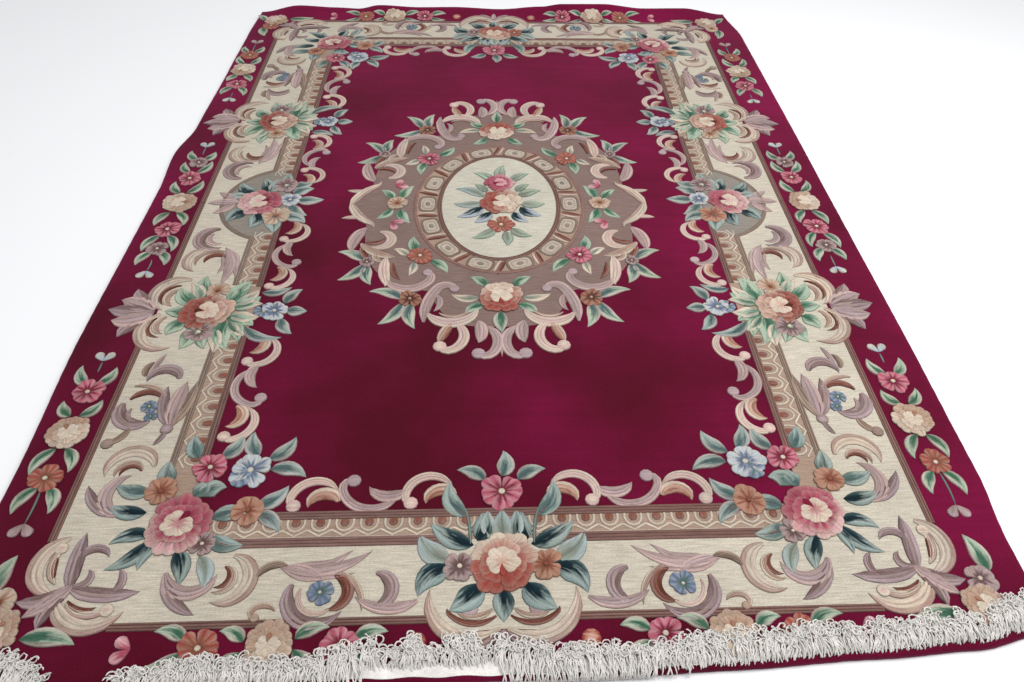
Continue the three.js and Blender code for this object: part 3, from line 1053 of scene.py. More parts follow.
def heart_bud(carving, spot, x, y, size, kind, turn=0.0, level=0.3):
    """A bud of two petals that part like a heart."""
    heart, colour, rim, _ = BLOOMS[kind]
    bud = spot.within(x, y, turn)
    for side in (1, -1):
        tone = graded(colour, rim, 0.2, 0.8, heart, 0.3)
        petal(carving, bud, side * 0.62, 0, size * 1.35, size * 0.95, tone, level + 0.3 * side)


def spray(carving, spot, name):
    """Leaves, flowers and a bud in a row, growing away from a rose."""
    for what, start, stop, size, kind in SPRAYS[name]:
        wobble = carving.dice.uniform(-3, 3)
        if what == "leaves":
            for side in (1, -1):
                tip = (stop + carving.dice.uniform(-4, 4), side * size)
                leaf(carving, spot, (start, side * 8 + wobble), tip, 27, kind, side * 0.16)
        elif what == "flower":
            blossom(carving, spot, start, wobble, size, kind, carving.dice.uniform(0, 72))
        elif what == "stem":
            scroll(carving, spot, "stem", 2.6, start, 0, stop, 0, wobble / 60, height=1.2)
        elif what == "ball":
            _, colour, rim, _ = BLOOMS[kind]
            carving.dome(spot, start, wobble, size, graded(rim, colour, 0.2, 0.8), 2.4, 0.2)
        else:
            heart_bud(carving, spot, start - 12, 0, size, kind)


def outer_sprays(carving, spot, flourish):
    """All that grows outside the frame in one quarter, but for the middle of the side."""
    side = spot.within(840, 770)
    rose(carving, side, 0, 0, 44, "guard", facing=-60)
    spray(carving, side.within(0, 0, 90), "to_corner")
    spray(carving, side.within(0, 0, -90), "to_flank")
    end = spot.within(372, 1206)
    rose(carving, end, 0, 0, 43, "guard", facing=-90)
    spray(carving, end, "end_to_corner")
    spray(carving, end.within(0, 0, 180), "end_to_middle")
    leaf(carving, spot, (836, 1112), (824, 1036), 36, "guard", 0.1)
    leaf(carving, spot, (762, 1186), (672, 1196), 34, "guard", 0.1)
    leaf(carving, spot, (846, 1170), (884, 1216), 30, "guard", 0.1)
    blossom(carving, spot, 818, 1122, 30, flourish, 45, petals=4)
    rose(carving, spot, 806, 1170, 42, "guard_pink", facing=-135)


# The medallion, in one quarter of it

MEDALLION_SCROLLS = (
    ("rosy", 14, 394, -8, 334, 84, -0.1, -80),
    ("blush", 8, 360, 62, 412, 64, -0.06),
    ("lilac", 17, 342, 108, 368, 206, -0.12),
    ("blush", 14, 306, 124, 326, 182, 0.7),
    ("brown", 7, 336, 166, 290, 148, -0.25),
    ("brown", 10, 346, 186, 324, 240, -0.04),
    ("tan", 14, 348, 172, 254, 226, -0.12),
    ("tan", 9, 306, 206, 284, 244, -0.3),
    ("brown", 8, 262, 252, 240, 314, -0.12),
    ("blush", 15, 280, 230, 274, 318, -0.06, -50),
    ("lilac", 14, 276, 308, 170, 316, -0.32, 90, 13),
    ("lilac", 8, 150, 370, 156, 426, 0.2),
    ("lilac", 15, 176, 462, 150, 346, 0.08, 140, 13),
    ("blush", 16, 168, 434, 52, 414, -0.34),
    ("tan", 5, 142, 432, 70, 416, -0.26),
    ("ember", 13, 114, 466, 140, 530, -0.03),
    ("blush", 13, 108, 464, 106, 548, 0.28, 110, 16),
    ("lilac", 16, 52, 460, 52, 530, 0.1),
    ("lilac", 13, 36, 476, 20, 560, 0.22, 110, 16),
)
MEDALLION_LEAVES = (
    (330, 244, 402, 204, 34, "mint", -0.14),
    (330, 250, 390, 312, 34, "mint", 0.14),
    (320, 256, 308, 330, 34, "mint", -0.14),
    (226, 384, 310, 354, 34, "mint", -0.14),
    (230, 394, 280, 466, 34, "mint", 0.14),
    (206, 396, 194, 482, 34, "mint", -0.14),
    (204, 206, 218, 142, 32, "green", 0.1),
    (226, 222, 266, 194, 26, "fawn", -0.1),
    (212, 246, 222, 298, 24, "fawn", 0.1),
    (172, 240, 128, 288, 30, "green", 0.12),
    (262, 24, 232, 86, 32, "green", -0.1),
    (284, 22, 322, 66, 28, "green", 0.12),
    (32, 338, 74, 304, 30, "green", -0.1),
    (50, 378, 118, 366, 28, "fawn", 0.14),
    (40, 404, 84, 436, 30, "green", -0.12),
)
CENTRE_LEAVES = (
    (8, 112, 14, 190, 34, "moss", 0.1),
    (-14, 100, -72, 150, 30, "moss", -0.14),
    (34, 100, 86, 144, 30, "moss", 0.14),
    (-34, 52, -66, 92, 26, "moss", -0.1),
    (48, 56, 84, 92, 28, "moss", 0.1),
    (-40, 30, -118, 70, 34, "pale", -0.12),
    (54, 30, 116, 60, 34, "moss", 0.12),
    (-46, 4, -122, 0, 32, "pale", 0.1),
    (56, 2, 124, 0, 34, "moss", -0.1),
    (-44, -14, -112, -60, 36, "ivory", 0.12),
    (56, -16, 112, -56, 36, "ivory", -0.12),
    (-24, -38, -66, -86, 34, "ivory", 0.1),
    (38, -40, 76, -84, 34, "ivory", -0.1),
    (-12, -108, -72, -150, 32, "moss", 0.14),
    (30, -108, 84, -144, 30, "moss", -0.14),
    (12, -124, 18, -184, 30, "moss", 0.1),
)
RING_OUTSIDE = (224, 288)
RING_INSIDE = (159, 237)
CARTOUCHES = 14
MEDALLION = Spot((6, -7))


def medallion_quarter(carving, spot, variety):
    scrolls(carving, spot, MEDALLION_SCROLLS)
    leaves(carving, spot, MEDALLION_LEAVES, 0.2)
    blossom(carving, spot, 198, 222, 33, variety, 20)
    blossom(carving, spot, 326, 246, 19, "mauve", 0, petals=4)
    blossom(carving, spot, 212, 382, 29, "brown", 40, petals=4)
    heart_bud(carving, spot, 282, 82, 26, "pink", 150, 0.8)


def rounded(half_width, half_length, steps):
    """A rectangle with well rounded corners."""
    return [
        (half_width * math.copysign(abs(x) ** 0.55, x), half_length * math.copysign(abs(y) ** 0.55, y))
        for x, y in oval(1, 1, steps)
    ]


def ring(carving, spot):
    """The cartouche band round the ivory oval: two mouldings and the cartouches between them."""
    carving.loop(spot, oval(*RING_OUTSIDE, 72), 5, railed("blush_dark", "moulding_dark"), 1.8, 0.5)
    carving.loop(spot, oval(*RING_INSIDE, 72), 6.5, railed("moulding", "moulding_dark"), 2.0, 0.5)
    across, along = ((a + b) / 2 - 1 for a, b in zip(RING_OUTSIDE, RING_INSIDE))
    pitch = math.pi * (across + along) / CARTOUCHES
    for k in range(CARTOUCHES):
        turn = 2 * math.pi * k / CARTOUCHES
        angle = turn - 0.08 * math.sin(2 * turn)  # evens out the pitch round the oval
        c, s = math.cos(angle), math.sin(angle)
        seat = spot.within(across * c, along * s, math.degrees(math.atan2(s * across, c * along)))
        carving.plate(seat, rounded(19, 28, 16), "putty", 0.9)
        carving.loop(seat, rounded(22, 32, 24), 3.4, railed("greige", "greige_dark"), 1.8, 0.5, top="plain")
        carving.loop(seat, rounded(13, 20, 20), 2.0, plain("putty"), 1.2, 0.8, top="plain")
        carving.dome(seat, 0, 0, 6.5, graded("stone", "greige", 0.3, 0.9), 1.2, 0.9, stretch=1.4)
        for offset, kind, half in ((4, "brown", 8), (-7, "rosy", 5)):
            place = pitch / 2 + offset
            scroll(carving, seat, kind, half, -28, place, 28, place, -0.06, height=1.4, level=0.5)


# Mouldings: straight runs of a quarter, from and to, half their width and their yarns
MOULDINGS = (
    # x, y, x, y, half width, core, line
    (779, -1, 779, 330, 7.5, "moulding", "moulding_dark"),
    (779, 532, 779, 1012, 7.5, "moulding", "moulding_dark"),
    (124, 1169, 632, 1169, 7.5, "moulding", "moulding_dark"),
    (619, 150, 619, 334, 7, "greige", "greige_dark"),
    (619, 540, 619, 900, 7, "greige", "greige_dark"),
    (100, 1023, 560, 1023, 10, "moulding", "moulding_dark"),
    (562, 100, 562, 340, 8, "moulding", "moulding_dark"),
    (562, 500, 562, 880, 8, "moulding", "moulding_dark"),
    (0, 969, 500, 969, 9, "moulding", "moulding_dark"),
)
NICHE_CIRCLE = (562, 0, 164)
DENTIL_PITCH = 43.0
SIDE_BAND = (570, 42)
END_BAND = (978, 34)


def mouldings(carving, spot):
    for x0, y0, x1, y1, half, core, line in MOULDINGS:
        steps = max(2, round(math.dist((x0, y0), (x1, y1)) / 22))
        spine = [(x0 + (x1 - x0) * k / steps, y0 + (y1 - y0) * k / steps) for k in range(steps + 1)]
        carving.ribbon(spot, spine, [half] * (steps + 1), railed(core, line), 2.0, 0.4, "rails")
    spine = arc(*NICHE_CIRCLE, 0, 71, 16)
    carving.ribbon(spot, spine, [6] * 17, railed("greige", "greige_dark"), 2.0, 0.6, "rails")


def dentil(carving, spot):
    """One tooth of the dentil band: u along the band, v across it in hundredths from the field."""
    bow = [(-15, 0), (-15, 32), (-10, 58), (0, 70), (10, 58), (15, 32), (15, 0)]
    carving.ribbon(spot, smooth(bow, 8), [3.2] * 9, railed("butter", "oat"), 1.6, 0.3)
    tooth = [(0, 2), (0, 14), (0, 28), (0, 42)]
    carving.ribbon(spot, tooth, [7, 8, 8, 4], graded("brown", "moulding", 0.0, 1.0), 1.4, 0.3)
    half = DENTIL_PITCH / 2
    zigzag = [(-half, 62), (-half / 2, 80), (0, 98), (half / 2, 80), (half, 62)]
    carving.ribbon(spot, zigzag, [2.6] * 5, plain("butter"), 1.3, 0.3)
    carving.ribbon(spot, [(-half, 104), (0, 104), (half, 104)], [1.4] * 3, plain("butter"), 1.0, 0.3)


def dentils(carving, spot):
    side, side_width = SIDE_BAND
    end, end_width = END_BAND
    for number in range(1, 21):
        along = (number + 0.5) * DENTIL_PITCH
        if 150 < along < 340 or 520 < along < 880:
            across = spot.turned(side_width / 100, 0)
            dentil(carving, Spot(spot.at(side, along), spot.turned(0, 1), across))
        if along < 520:
            dentil(carving, Spot(spot.at(along, end), spot.turned(1, 0), spot.turned(0, end_width / 100)))


def quartered(points):
    """A quarter's outline, from the x axis to the y axis, mirrored to a closed one."""
    half = points + [(-x, y) for x, y in reversed(points)]
    outline = half + [(x, -y) for x, y in reversed(half)]
    return [p for p, q in zip(outline, outline[1:] + outline[:1]) if math.dist(p, q) > 0.01]


def grounds(carving):
    """The flat grounds of cream, beige, stone, taupe and ivory that the carving stands on."""
    middle = Spot()
    frame_edge = [
        (776, 0), (776, 318), *arc(756, 370, 46, -70, 70, 6), *arc(756, 486, 46, -70, 70, 6), (776, 538),
        (776, 1008), *arc(742, 1052, 48, -45, 80, 6), *arc(672, 1128, 48, 5, 130, 6), (632, 1168),
        (142, 1168), *arc(70, 1130, 64, 30, 108, 6), (0, 1188),
    ]
    carving.plate(middle, quartered(frame_edge), "cream", 0.6, [quartered([(616, 0), (616, 1024), (0, 1024)])])
    beige = quartered([(616.4, 0), (616.4, 1024.4), (0, 1024.4)])
    carving.plate(middle, beige, "beige", 0.5, [quartered([(557, 0), (557, 964), (0, 964)])])
    bay = [(557, -150), (612, -152), *arc(*NICHE_CIRCLE, -68, 68, 18), (612, 152), (557, 150)]
    for spot in quarters(y_signs=(1,)):
        carving.plate(spot, bay, "stone", 0.9)
    for height, outline in enumerate((rounded(345, 362, 64), rounded(185, 478, 64), oval(392, 120, 48))):
        carving.plate(MEDALLION, outline, "taupe", 0.35 + 0.03 * height)
    carving.plate(MEDALLION, oval(*RING_OUTSIDE, 72), "beige", 0.6)
    carving.plate(MEDALLION, oval(*RING_INSIDE, 72), "ivory", 0.75)


# Materials


class Shader:
    """Nodes of one material, added and joined by short calls."""

    def __init__(self, name):
        self.material = bpy.data.materials.new(name)
        self.material.use_nodes = True
        self.tree = self.material.node_tree
        self.surface = self.tree.nodes["Principled BSDF"].inputs
        self.place = self.node("TexCoord").outputs["Object"]

    def node(self, kind, **settings):
        node = self.tree.nodes.new(f"ShaderNode{kind}")
        for name, value in settings.items():
            setattr(node, name, value)
        return node

    def filled(self, node, **values):
        """Sets sockets by name; a value that is itself a socket is joined."""
        for name, value in values.items():
            socket = node.inputs[name.replace("_", " ")]
            if isinstance(value, bpy.types.NodeSocket):
                self.tree.links.new(value, socket)
            else:
                socket.default_value = value
        return node

    def noise(self, vector, scale, detail=2.0):
        node = self.filled(self.node("TexNoise"), Vector=vector, Scale=scale, Detail=detail)
        return node.outputs["Fac"]

    def spread(self, value, low, high, from_low=0.3, from_high=0.7):
        node = self.filled(
            self.node("MapRange"), Value=value, From_Min=from_low, From_Max=from_high, To_Min=low, To_Max=high
        )
        return node.outputs["Result"]

    def scaled(self, vector, factors):
        return self.filled(self.node("Mapping"), Vector=vector, Scale=factors).outputs["Vector"]

    def joined(self, operation, a, b):
        node = self.node("Math", operation=operation)
        self.tree.links.new(a, node.inputs[0])
        self.tree.links.new(b, node.inputs[1])
        return node.outputs[0]

    def times(self, a, b):
        return self.joined("MULTIPLY", a, b)

    def plus(self, a, b):
        return self.joined("ADD", a, b)

    def shade(self, colour, factor):
        """A colour times a factor."""
        node = self.node("VectorMath", operation="SCALE")
        self.tree.links.new(colour, node.inputs[0])
        return self.filled(node, Scale=factor).outputs[0]

    def ramp(self, value, deep, pale):
        node = self.filled(self.node("ValToRGB"), Fac=value)
        for element, colour in zip(node.color_ramp.elements, (deep, pale)):
            element.color = (*colour, 1)
        return node.outputs["Color"]

    def nap(self, strength, fine, coarse):
        """Bumps of the pile: tufts, and the soft swell of the cloth."""
        below = self.filled(
            self.node("Bump"), Height=self.noise(self.place, fine), Strength=strength, Distance=0.001
        )
        swell = self.filled(
            self.node("Bump"), Height=self.noise(self.place, coarse), Strength=0.35, Distance=0.004,
            Normal=below.outputs["Normal"],
        )
        return swell.outputs["Normal"]

    def cloth(self, colour, normal, roughness, sheen, sheen_tint):
        self.tree.links.new(colour, self.surface["Base Color"])
        self.tree.links.new(normal, self.surface["Normal"])
        self.surface["Roughness"].default_value = roughness
        self.surface["Specular IOR Level"].default_value = 0.06
        self.surface["Sheen Weight"].default_value = sheen
        self.surface["Sheen Roughness"].default_value = 0.45
        self.surface["Sheen Tint"].default_value = (*sheen_tint, 1)
        return self.material


def ground_wool(colours):
    """Burgundy pile: brushed patches, partly painted sheen, painted light that makes it lighter to the far
    right, faint rows across and tufts.
    """
    sh = Shader("burgundy_wool")
    across = sh.node("SeparateXYZ")
    sh.tree.links.new(sh.place, across.inputs[0])
    # painted light: the pile is made lighter towards the right side and towards the far end
    sides = sh.spread(across.outputs["X"], -0.02, 0.22, -0.9, 0.9)
    ends = sh.spread(across.outputs["Y"], 0.0, 0.5, -0.6, 1.2)
    # brushed patches of the pile, whose lighter and darker tones are partly painted sheen
    patches = sh.spread(sh.noise(sh.place, 2.6, 4.0), -0.14, 0.62, 0.34, 0.66)
    rows = sh.spread(sh.noise(sh.scaled(sh.place, (2.5, 60, 1)), 1.0, 3.0), 0.7, 1.0)
    # the nap patches and the painted light together, across the faint rows
    nap_and_painted_light = sh.times(sh.plus(patches, sh.plus(sides, ends)), rows)
    # the ramp runs from the burgundy in painted shade to its lit colour
    wool = sh.ramp(nap_and_painted_light, colours.burgundy_shade, colours.burgundy)
    wool = sh.shade(wool, sh.spread(sh.noise(sh.place, 330), 0.82, 1.16))
    return sh.cloth(wool, sh.nap(0.5, 620, 24), 0.9, 0.16, (0.9, 0.35, 0.6))


def carved_wool():
    """Carved pile: two yarns of each shape reach into each other along it, in streaks and tufts."""
    sh = Shader("carved_wool")
    first, second, grain, share = (
        sh.node("Attribute", attribute_name=name).outputs[output]
        for name, output in (
            ("first_yarn", "Color"), ("second_yarn", "Color"), ("grain", "Vector"), ("share", "Fac")
        )
    )
    reach = sh.spread(sh.noise(sh.scaled(grain, (38, 240, 1)), 1.0, 3.0), -0.4, 0.4)
    taken = sh.spread(sh.plus(share, reach), 0.0, 1.0, 0.2, 0.8)
    yarn = sh.filled(sh.node("MixRGB"), Fac=taken, Color1=first, Color2=second).outputs["Color"]
    streaks = sh.spread(sh.noise(sh.scaled(grain, (26, 330, 1)), 1.0), 0.8, 1.12)
    tufts = sh.spread(sh.noise(sh.place, 330), 0.88, 1.1)
    wool = sh.shade(sh.shade(yarn, sh.times(streaks, tufts)), sh.spread(sh.noise(sh.place, 5), 0.93, 1.05))
    return sh.cloth(wool, sh.nap(0.45, 620, 24), 0.92, 0.08, (1.0, 0.95, 0.9))


def cotton_yarn(name, colour, weave):
    """Cotton, a little greyed with use; weave stretches its grain along the threads."""
    sh = Shader(name)
    worn = sh.spread(sh.noise(sh.place, 45, 3.0), 0.0, 1.0)
    yarn = sh.ramp(worn, [c * 0.78 for c in colour], colour)
    yarn = sh.shade(yarn, sh.spread(sh.noise(sh.scaled(sh.place, weave), 1.0), 0.84, 1.08))
    return sh.cloth(yarn, sh.nap(0.5, 900, 60), 0.85, 0.2, (1.0, 1.0, 1.0))


# Pieces


def mesh_piece(name, points, faces, material):
    mesh = bpy.data.meshes.new(name)
    mesh.from_pydata([[c * MM for c in p] for p in points], [], faces)
    return place_piece(mesh, material)


def rim_of(columns, rows):
    """The grid places round a sheet, in order."""
    rim = [(i, 0) for i in range(columns)] + [(columns, j) for j in range(rows)]
    return rim + [(i, rows) for i in range(columns, 0, -1)] + [(0, j) for j in range(rows, 0, -1)]


# The sheet's edge, from the foot to the pile's top: how far it leans in, height
EDGE = ((1.5, 0.0), (0.0, 2.0), (0.2, 8.0), (1.6, 11.0), (5.0, 12.0))


def make_pile(columns, rows, material):
    """The rug as one closed sheet: foot, edge and pile."""
    points, faces = [], []
    dice = random.Random(4)

    def layer(places, lean, height, fuzz=0.0):
        start = len(points)
        for i, j in places:
            x, y = sheet_point(i / columns, j / rows)
            inset = lean + dice.uniform(-fuzz, fuzz)
            points.append((x * (1 - inset / 915), y * (1 - inset / 1266), lift(x, y) + height))
        return start

    grid = [(i, j) for j in range(rows + 1) for i in range(columns + 1)]
    bottom = layer(grid, *EDGE[0])
    top = layer(grid, *EDGE[-1])
    for i, j in grid:
        if i < columns and j < rows:
            a, b = j * (columns + 1) + i, (j + 1) * (columns + 1) + i
            faces.append((top + a, top + a + 1, top + b + 1, top + b))
            faces.append((bottom + a, bottom + b, bottom + b + 1, bottom + a + 1))
    rim = rim_of(columns, rows)
    rings = [[bottom + j * (columns + 1) + i for i, j in rim]]
    for lean, height in EDGE[1:-1]:
        start = layer(rim, lean, height, 0.4)
        rings.append([start + k for k in range(len(rim))])
    rings.append([top + j * (columns + 1) + i for i, j in rim])
    for a, b in zip(rings, rings[1:]):
        for k in range(len(rim)):
            n = (k + 1) % len(rim)
            faces.append((a[k], a[n], b[n], b[k]))
    return mesh_piece("pile", points, faces, material)


def tube(points, faces, path, radius, sides, twist, dice):
    """A plied strand along a path, with closed ends."""
    rows = []
    for i, p in enumerate(path):
        tangent = (Vector(path[min(i + 1, len(path) - 1)]) - Vector(path[max(i - 1, 0)])).normalized()
        side = tangent.orthogonal() if abs(tangent.z) > 0.95 else tangent.cross(Vector((0, 0, 1)))
        side.normalize()
        up = side.cross(tangent)
        r = radius * (0.55 if i in (0, len(path) - 1) else dice.uniform(0.9, 1.12))
        rows.append(list(range(len(points), len(points) + sides)))
        for k in range(sides):
            angle = 2 * math.pi * k / sides + twist * i
            points.append(tuple(Vector(p) + side * (r * math.cos(angle)) + up * (r * math.sin(angle))))
    for a, b in zip(rows, rows[1:]):
        for k in range(sides):
            n = (k + 1) % sides
            faces.append((a[k], a[n], b[n], b[k]))
    faces += [tuple(rows[0]), tuple(rows[-1])]


def strand_path(x, sway, stretch, dice):
    """A strand that comes over the rug's near edge, or out of the pile, and lies back in curls."""
    edge, reach, start = (read(NEAR_END, column, x) for column in (1, 2, 3))
    reach *= stretch * dice.uniform(0.78, 1.06)
    start += dice.uniform(-5, 5)
    over = THICKNESS + 2.8 + dice.uniform(0, 5)
    sway += dice.uniform(-8, 8)
    lean = dice.uniform(-8, 8)
    inside = min(x - OPEN_FROM, OPEN_TO - x)
    if dice.random() < ease(0.5 + inside / 50):
        start += WEB_WIDTH * dice.uniform(0.7, 1.0)
        path = [(x, edge + start - 5, THICKNESS + 1), (x, edge + start + 1, over)]
    elif start < 4:
        path = [(x + lean, edge - 3.4, dice.uniform(1.8, 5)), (x + lean * 0.8, edge - 3.8, 8.0)]
        path += [(x + lean * 0.5, edge - 1.0, over - 0.8), (x, edge + 7, over)]
        start = 8
    else:
        path = [(x + lean * 0.6, edge + start - 2, THICKNESS - 2), (x + lean * 0.4, edge + start + 1, over)]
    for share in (0.3, 0.55, 0.8):
        bend = sway * share + dice.uniform(-4, 4)
        path.append((x + bend, edge + start + (reach - start) * share, over + dice.uniform(-0.6, 2.0)))
    curl = dice.uniform(2.5, 8) * dice.choice((-1, 1))
    turns = dice.choice((0.3, 0.5, 0.75, 1.1))
    rise = dice.uniform(0.0, 1.6)
    for k in range(1, 6):
        angle = 2 * math.pi * turns * k / 5
        tip_x = x + sway + curl * (1 - math.cos(angle))
        tip_y = edge + reach + abs(curl) * math.sin(angle) - 5
        path.append((tip_x, tip_y, max(14.2, over + rise * k + dice.uniform(-0.8, 0.8))))
    return path


def make_fringe(count, thickness, material):
    """The fringe, tuft by tuft, but for the stretch where it has worn away."""
    points, faces = [], []
    dice = random.Random(11)
    left, right = -SIDES[0][1] + 14, SIDES[0][2] - 14
    tufts = count // TUFT
    for k in range(tufts):
        middle = left + (right - left) * (k + dice.uniform(0.2, 0.8)) / tufts
        sway = dice.uniform(-9, 9) + 6 * math.sin(middle / 31)
        stretch = dice.uniform(0.7, 1.06)
        if read(NEAR_END, 2, middle) <= BARE_REACH:
            continue
        for _ in range(TUFT):
            x = middle + dice.uniform(-5, 5)
            radius = thickness / 2 * dice.uniform(0.8, 1.15)
            tube(points, faces, smooth(strand_path(x, sway, stretch, dice), 14), radius, 4, 0.7, dice)
    return mesh_piece("fringe_strands", points, faces, material)


def make_web(material):
    """The woven web under the fringe, with a ragged edge and narrow ends."""
    columns, rows = 320, 6
    points, faces = [], []
    dice = random.Random(15)
    ragged = [dice.uniform(0.86, 1.08) for _ in range(columns + 1)]
    grid = [(i, j) for j in range(rows + 1) for i in range(columns + 1)]
    for level in (0.3, 1.7):
        for i, j in grid:
            x = WEB_FROM + (WEB_TO - WEB_FROM) * i / columns
            share = j / rows
            start = max(5.0, read(NEAR_END, 3, x)) + 1.2 * math.sin(x / 13)
            width = WEB_WIDTH * ragged[i] * (0.3 + 0.7 * ease(min(i, columns - i) / 14))
            y = read(NEAR_END, 1, x) + start + width * share
            z = THICKNESS + level + 0.8 * math.sin(x / 17 + 3 * share) * share
            points.append((x, y, z))
    layer = len(grid)
    for i, j in grid:
        if i < columns and j < rows:
            a, b = j * (columns + 1) + i, (j + 1) * (columns + 1) + i
            faces.append((layer + a, layer + a + 1, layer + b + 1, layer + b))
            faces.append((a, b, b + 1, a + 1))
    rim = [j * (columns + 1) + i for i, j in rim_of(columns, rows)]
    for a, b in zip(rim, rim[1:] + rim[:1]):
        faces.append((a, b, layer + b, layer + a))
    return mesh_piece("fringe_web", points, faces, material)


# The add-on


class RugColours(bpy.types.PropertyGroup):
    """Colours that are not carved yarn."""

    burgundy: FloatVectorProperty(
        name="Burgundy", description="Brushed pile of the field", subtype="COLOR", default=LINEAR["burgundy"]
    )
    # the burgundy in painted shade, where the pile leans away from the light
    burgundy_shade: FloatVectorProperty(
        name="Burgundy shade", description="Pile that leans away", subtype="COLOR",
        default=LINEAR["burgundy_shade"],
    )
    cotton: FloatVectorProperty(
        name="Cotton", description="Fringe yarn", subtype="COLOR", default=(0.79, 0.755, 0.71)
    )
    floor: FloatVectorProperty(
        name="Floor", description="Plain pale floor", subtype="COLOR", default=(0.86, 0.86, 0.87)
    )


class RugSizes(bpy.types.PropertyGroup):
    """Sizes that a user may change."""

    columns: IntProperty(
        name="Columns", description="Faces across the sheet", default=150, min=30, subtype="UNSIGNED"
    )
    rows: IntProperty(
        name="Rows", description="Faces along the sheet", default=190, min=40, subtype="UNSIGNED"
    )
    strands: IntProperty(
        name="Strands", description="Strands in the fringe", default=1610, min=100, subtype="UNSIGNED"
    )
    strand: FloatProperty(
        name="Strand", description="Thickness of a strand", default=0.0026, min=0.001, unit="LENGTH"
    )


def carve(name, seed, draw):
    """One piece of carving, drawn by a function."""
    carving = Carving(seed)
    draw(carving)
    return carving.finish(name, bpy.data.materials.get("carved_wool") or carved_wool())


class RUG_OT_stage(bpy.types.Operator):
    """Adds the floor, the light and the camera"""

    bl_idname = "rug.stage"
    bl_label = "Stage"

    def execute(self, context):
        scene = context.scene
        bpy.ops.object.select_all(action="DESELECT")
        bpy.ops.mesh.primitive_plane_add(size=16, location=(0, 0, 0))
        floor = context.object
        floor.name = "floor"
        material = bpy.data.materials.new("pale_floor")
        material.use_nodes = True
        surface = material.node_tree.nodes["Principled BSDF"].inputs
        surface["Base Color"].default_value = (*scene.rug_colours.floor, 1)
        surface["Roughness"].default_value = 0.8
        surface["Specular IOR Level"].default_value = 0.1
        floor.data.materials.append(material)

        world = bpy.data.worlds.new("soft_daylight")
        world.use_nodes = True
        sky = world.node_tree.nodes["Background"].inputs
        sky["Color"].default_value = (0.97, 0.98, 1.0, 1)
        sky["Strength"].default_value = 0.66
        scene.world = world
        for name, place, size, power in (
            ("window", (1.5, -0.7, 2.4), 1.8, 52),
            ("ceiling", (0.0, 0.2, 3.6), 3.0, 38),
        ):
            light = bpy.data.lights.new(name, "AREA")
            light.size = size
            light.energy = power
            lamp = bpy.data.objects.new(name, light)
            lamp.location = place
            lamp.rotation_euler = (-Vector(place)).to_track_quat("-Z", "Y").to_euler()
            scene.collection.objects.link(lamp)

        view = bpy.data.cameras.new("camera")
        view.sensor_width = 36
        view.lens = 27.3
        view.shift_x = -0.0166
        view.clip_start = 0.02
        camera = bpy.data.objects.new("camera", view)
        camera.location = (-0.010, -1.749, 1.224)
        yaw, pitch, roll = (
            Matrix.Rotation(math.radians(angle), 3, axis)
            for angle, axis in ((-3.57, "Z"), (45.2, "X"), (1.90, "Z"))
        )
        camera.rotation_euler = (yaw @ pitch @ roll).to_euler()
        scene.collection.objects.link(camera)
        scene.camera = camera
        scene.view_settings.view_transform = "Standard"
        return {"FINISHED"}


class RUG_OT_pile(bpy.types.Operator):
    """Lays the rug's pile as one closed sheet"""

    bl_idname = "rug.pile"
    bl_label = "Pile"

    def execute(self, context):
        sizes = context.scene.rug_sizes
        pile = make_pile(sizes.columns, sizes.rows, ground_wool(context.scene.rug_colours))
        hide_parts("rug")
        return {"FINISHED"}


class RUG_OT_borders(bpy.types.Operator):
    """Adds the flat grounds, the mouldings and the dentil bands"""

    bl_idname = "rug.borders"
    bl_label = "Borders"

    def execute(self, context):
        carve("grounds", 1, grounds)
        carve("mouldings", 2, lambda c: [mouldings(c, spot) for spot in quarters()])
        carve("dentils", 3, lambda c: [dentils(c, spot) for spot in quarters()])
        return {"FINISHED"}


class RUG_OT_frame(bpy.types.Operator):
    """Carves the frame's scrolls and the sprays outside it"""

    bl_idname = "rug.frame"
    bl_label = "Frame carving"

    def execute(self, context):
        def band(carving):
            for spot in quarters():
                corner_scrolls(carving, spot)
                for rows in (END_MOTIF, FLANK_TO_CORNER, NICHE_TO_FLANK, FLANK_SCROLLS):
                    scrolls(carving, spot, rows)
                plumes(carving, spot, END_PLUMES + NICHE_PLUMES)
                blossom(carving, spot, 304, 1118, 23, "deep_blue", 30, petals=4)
                blossom(carving, spot, 704, 708, 18, "deep_blue", 0, petals=3)
                blossom(carving, spot, 694, 734, 13, "deep_blue", 50, petals=3)

        def sprays(carving):
            for spot, flourish in zip(quarters(), ("tan", "mauve", "coral", "tan")):
                outer_sprays(carving, spot, flourish)
            for side in quarters(y_signs=(1,)):
                seat = side.within(840, 0)
                rose(carving, seat, 0, 0, 48, "guard", facing=180)
                spray(carving, seat.within(0, 0, 90), "side_middle")
                spray(carving, seat.within(0, 0, -90), "side_middle")

        carve("frame_scrolls", 5, band)
        carve("outer_sprays", 6, sprays)
        return {"FINISHED"}


class RUG_OT_bouquets(bpy.types.Operator):
    """Carves the bouquets at the corners, sides and ends"""

    bl_idname = "rug.bouquets"
    bl_label = "Bouquets"

    def execute(self, context):
        def sides(carving):
            for spot in quarters():
                flank(carving, spot)
            for spot, variety in zip(quarters(y_signs=(1,)), ("orange", "tan")):
                niche(carving, spot, variety)

        def ends(carving):
            for spot, variety in zip(quarters(x_signs=(1,)), ("coral", "orange")):
                middle_of_end(carving, spot, variety)

        carve("corner_bouquets", 7, lambda c: [corner(c, spot) for spot in quarters()])
        carve("side_bouquets", 8, sides)
        carve("end_bouquets", 9, ends)
        return {"FINISHED"}


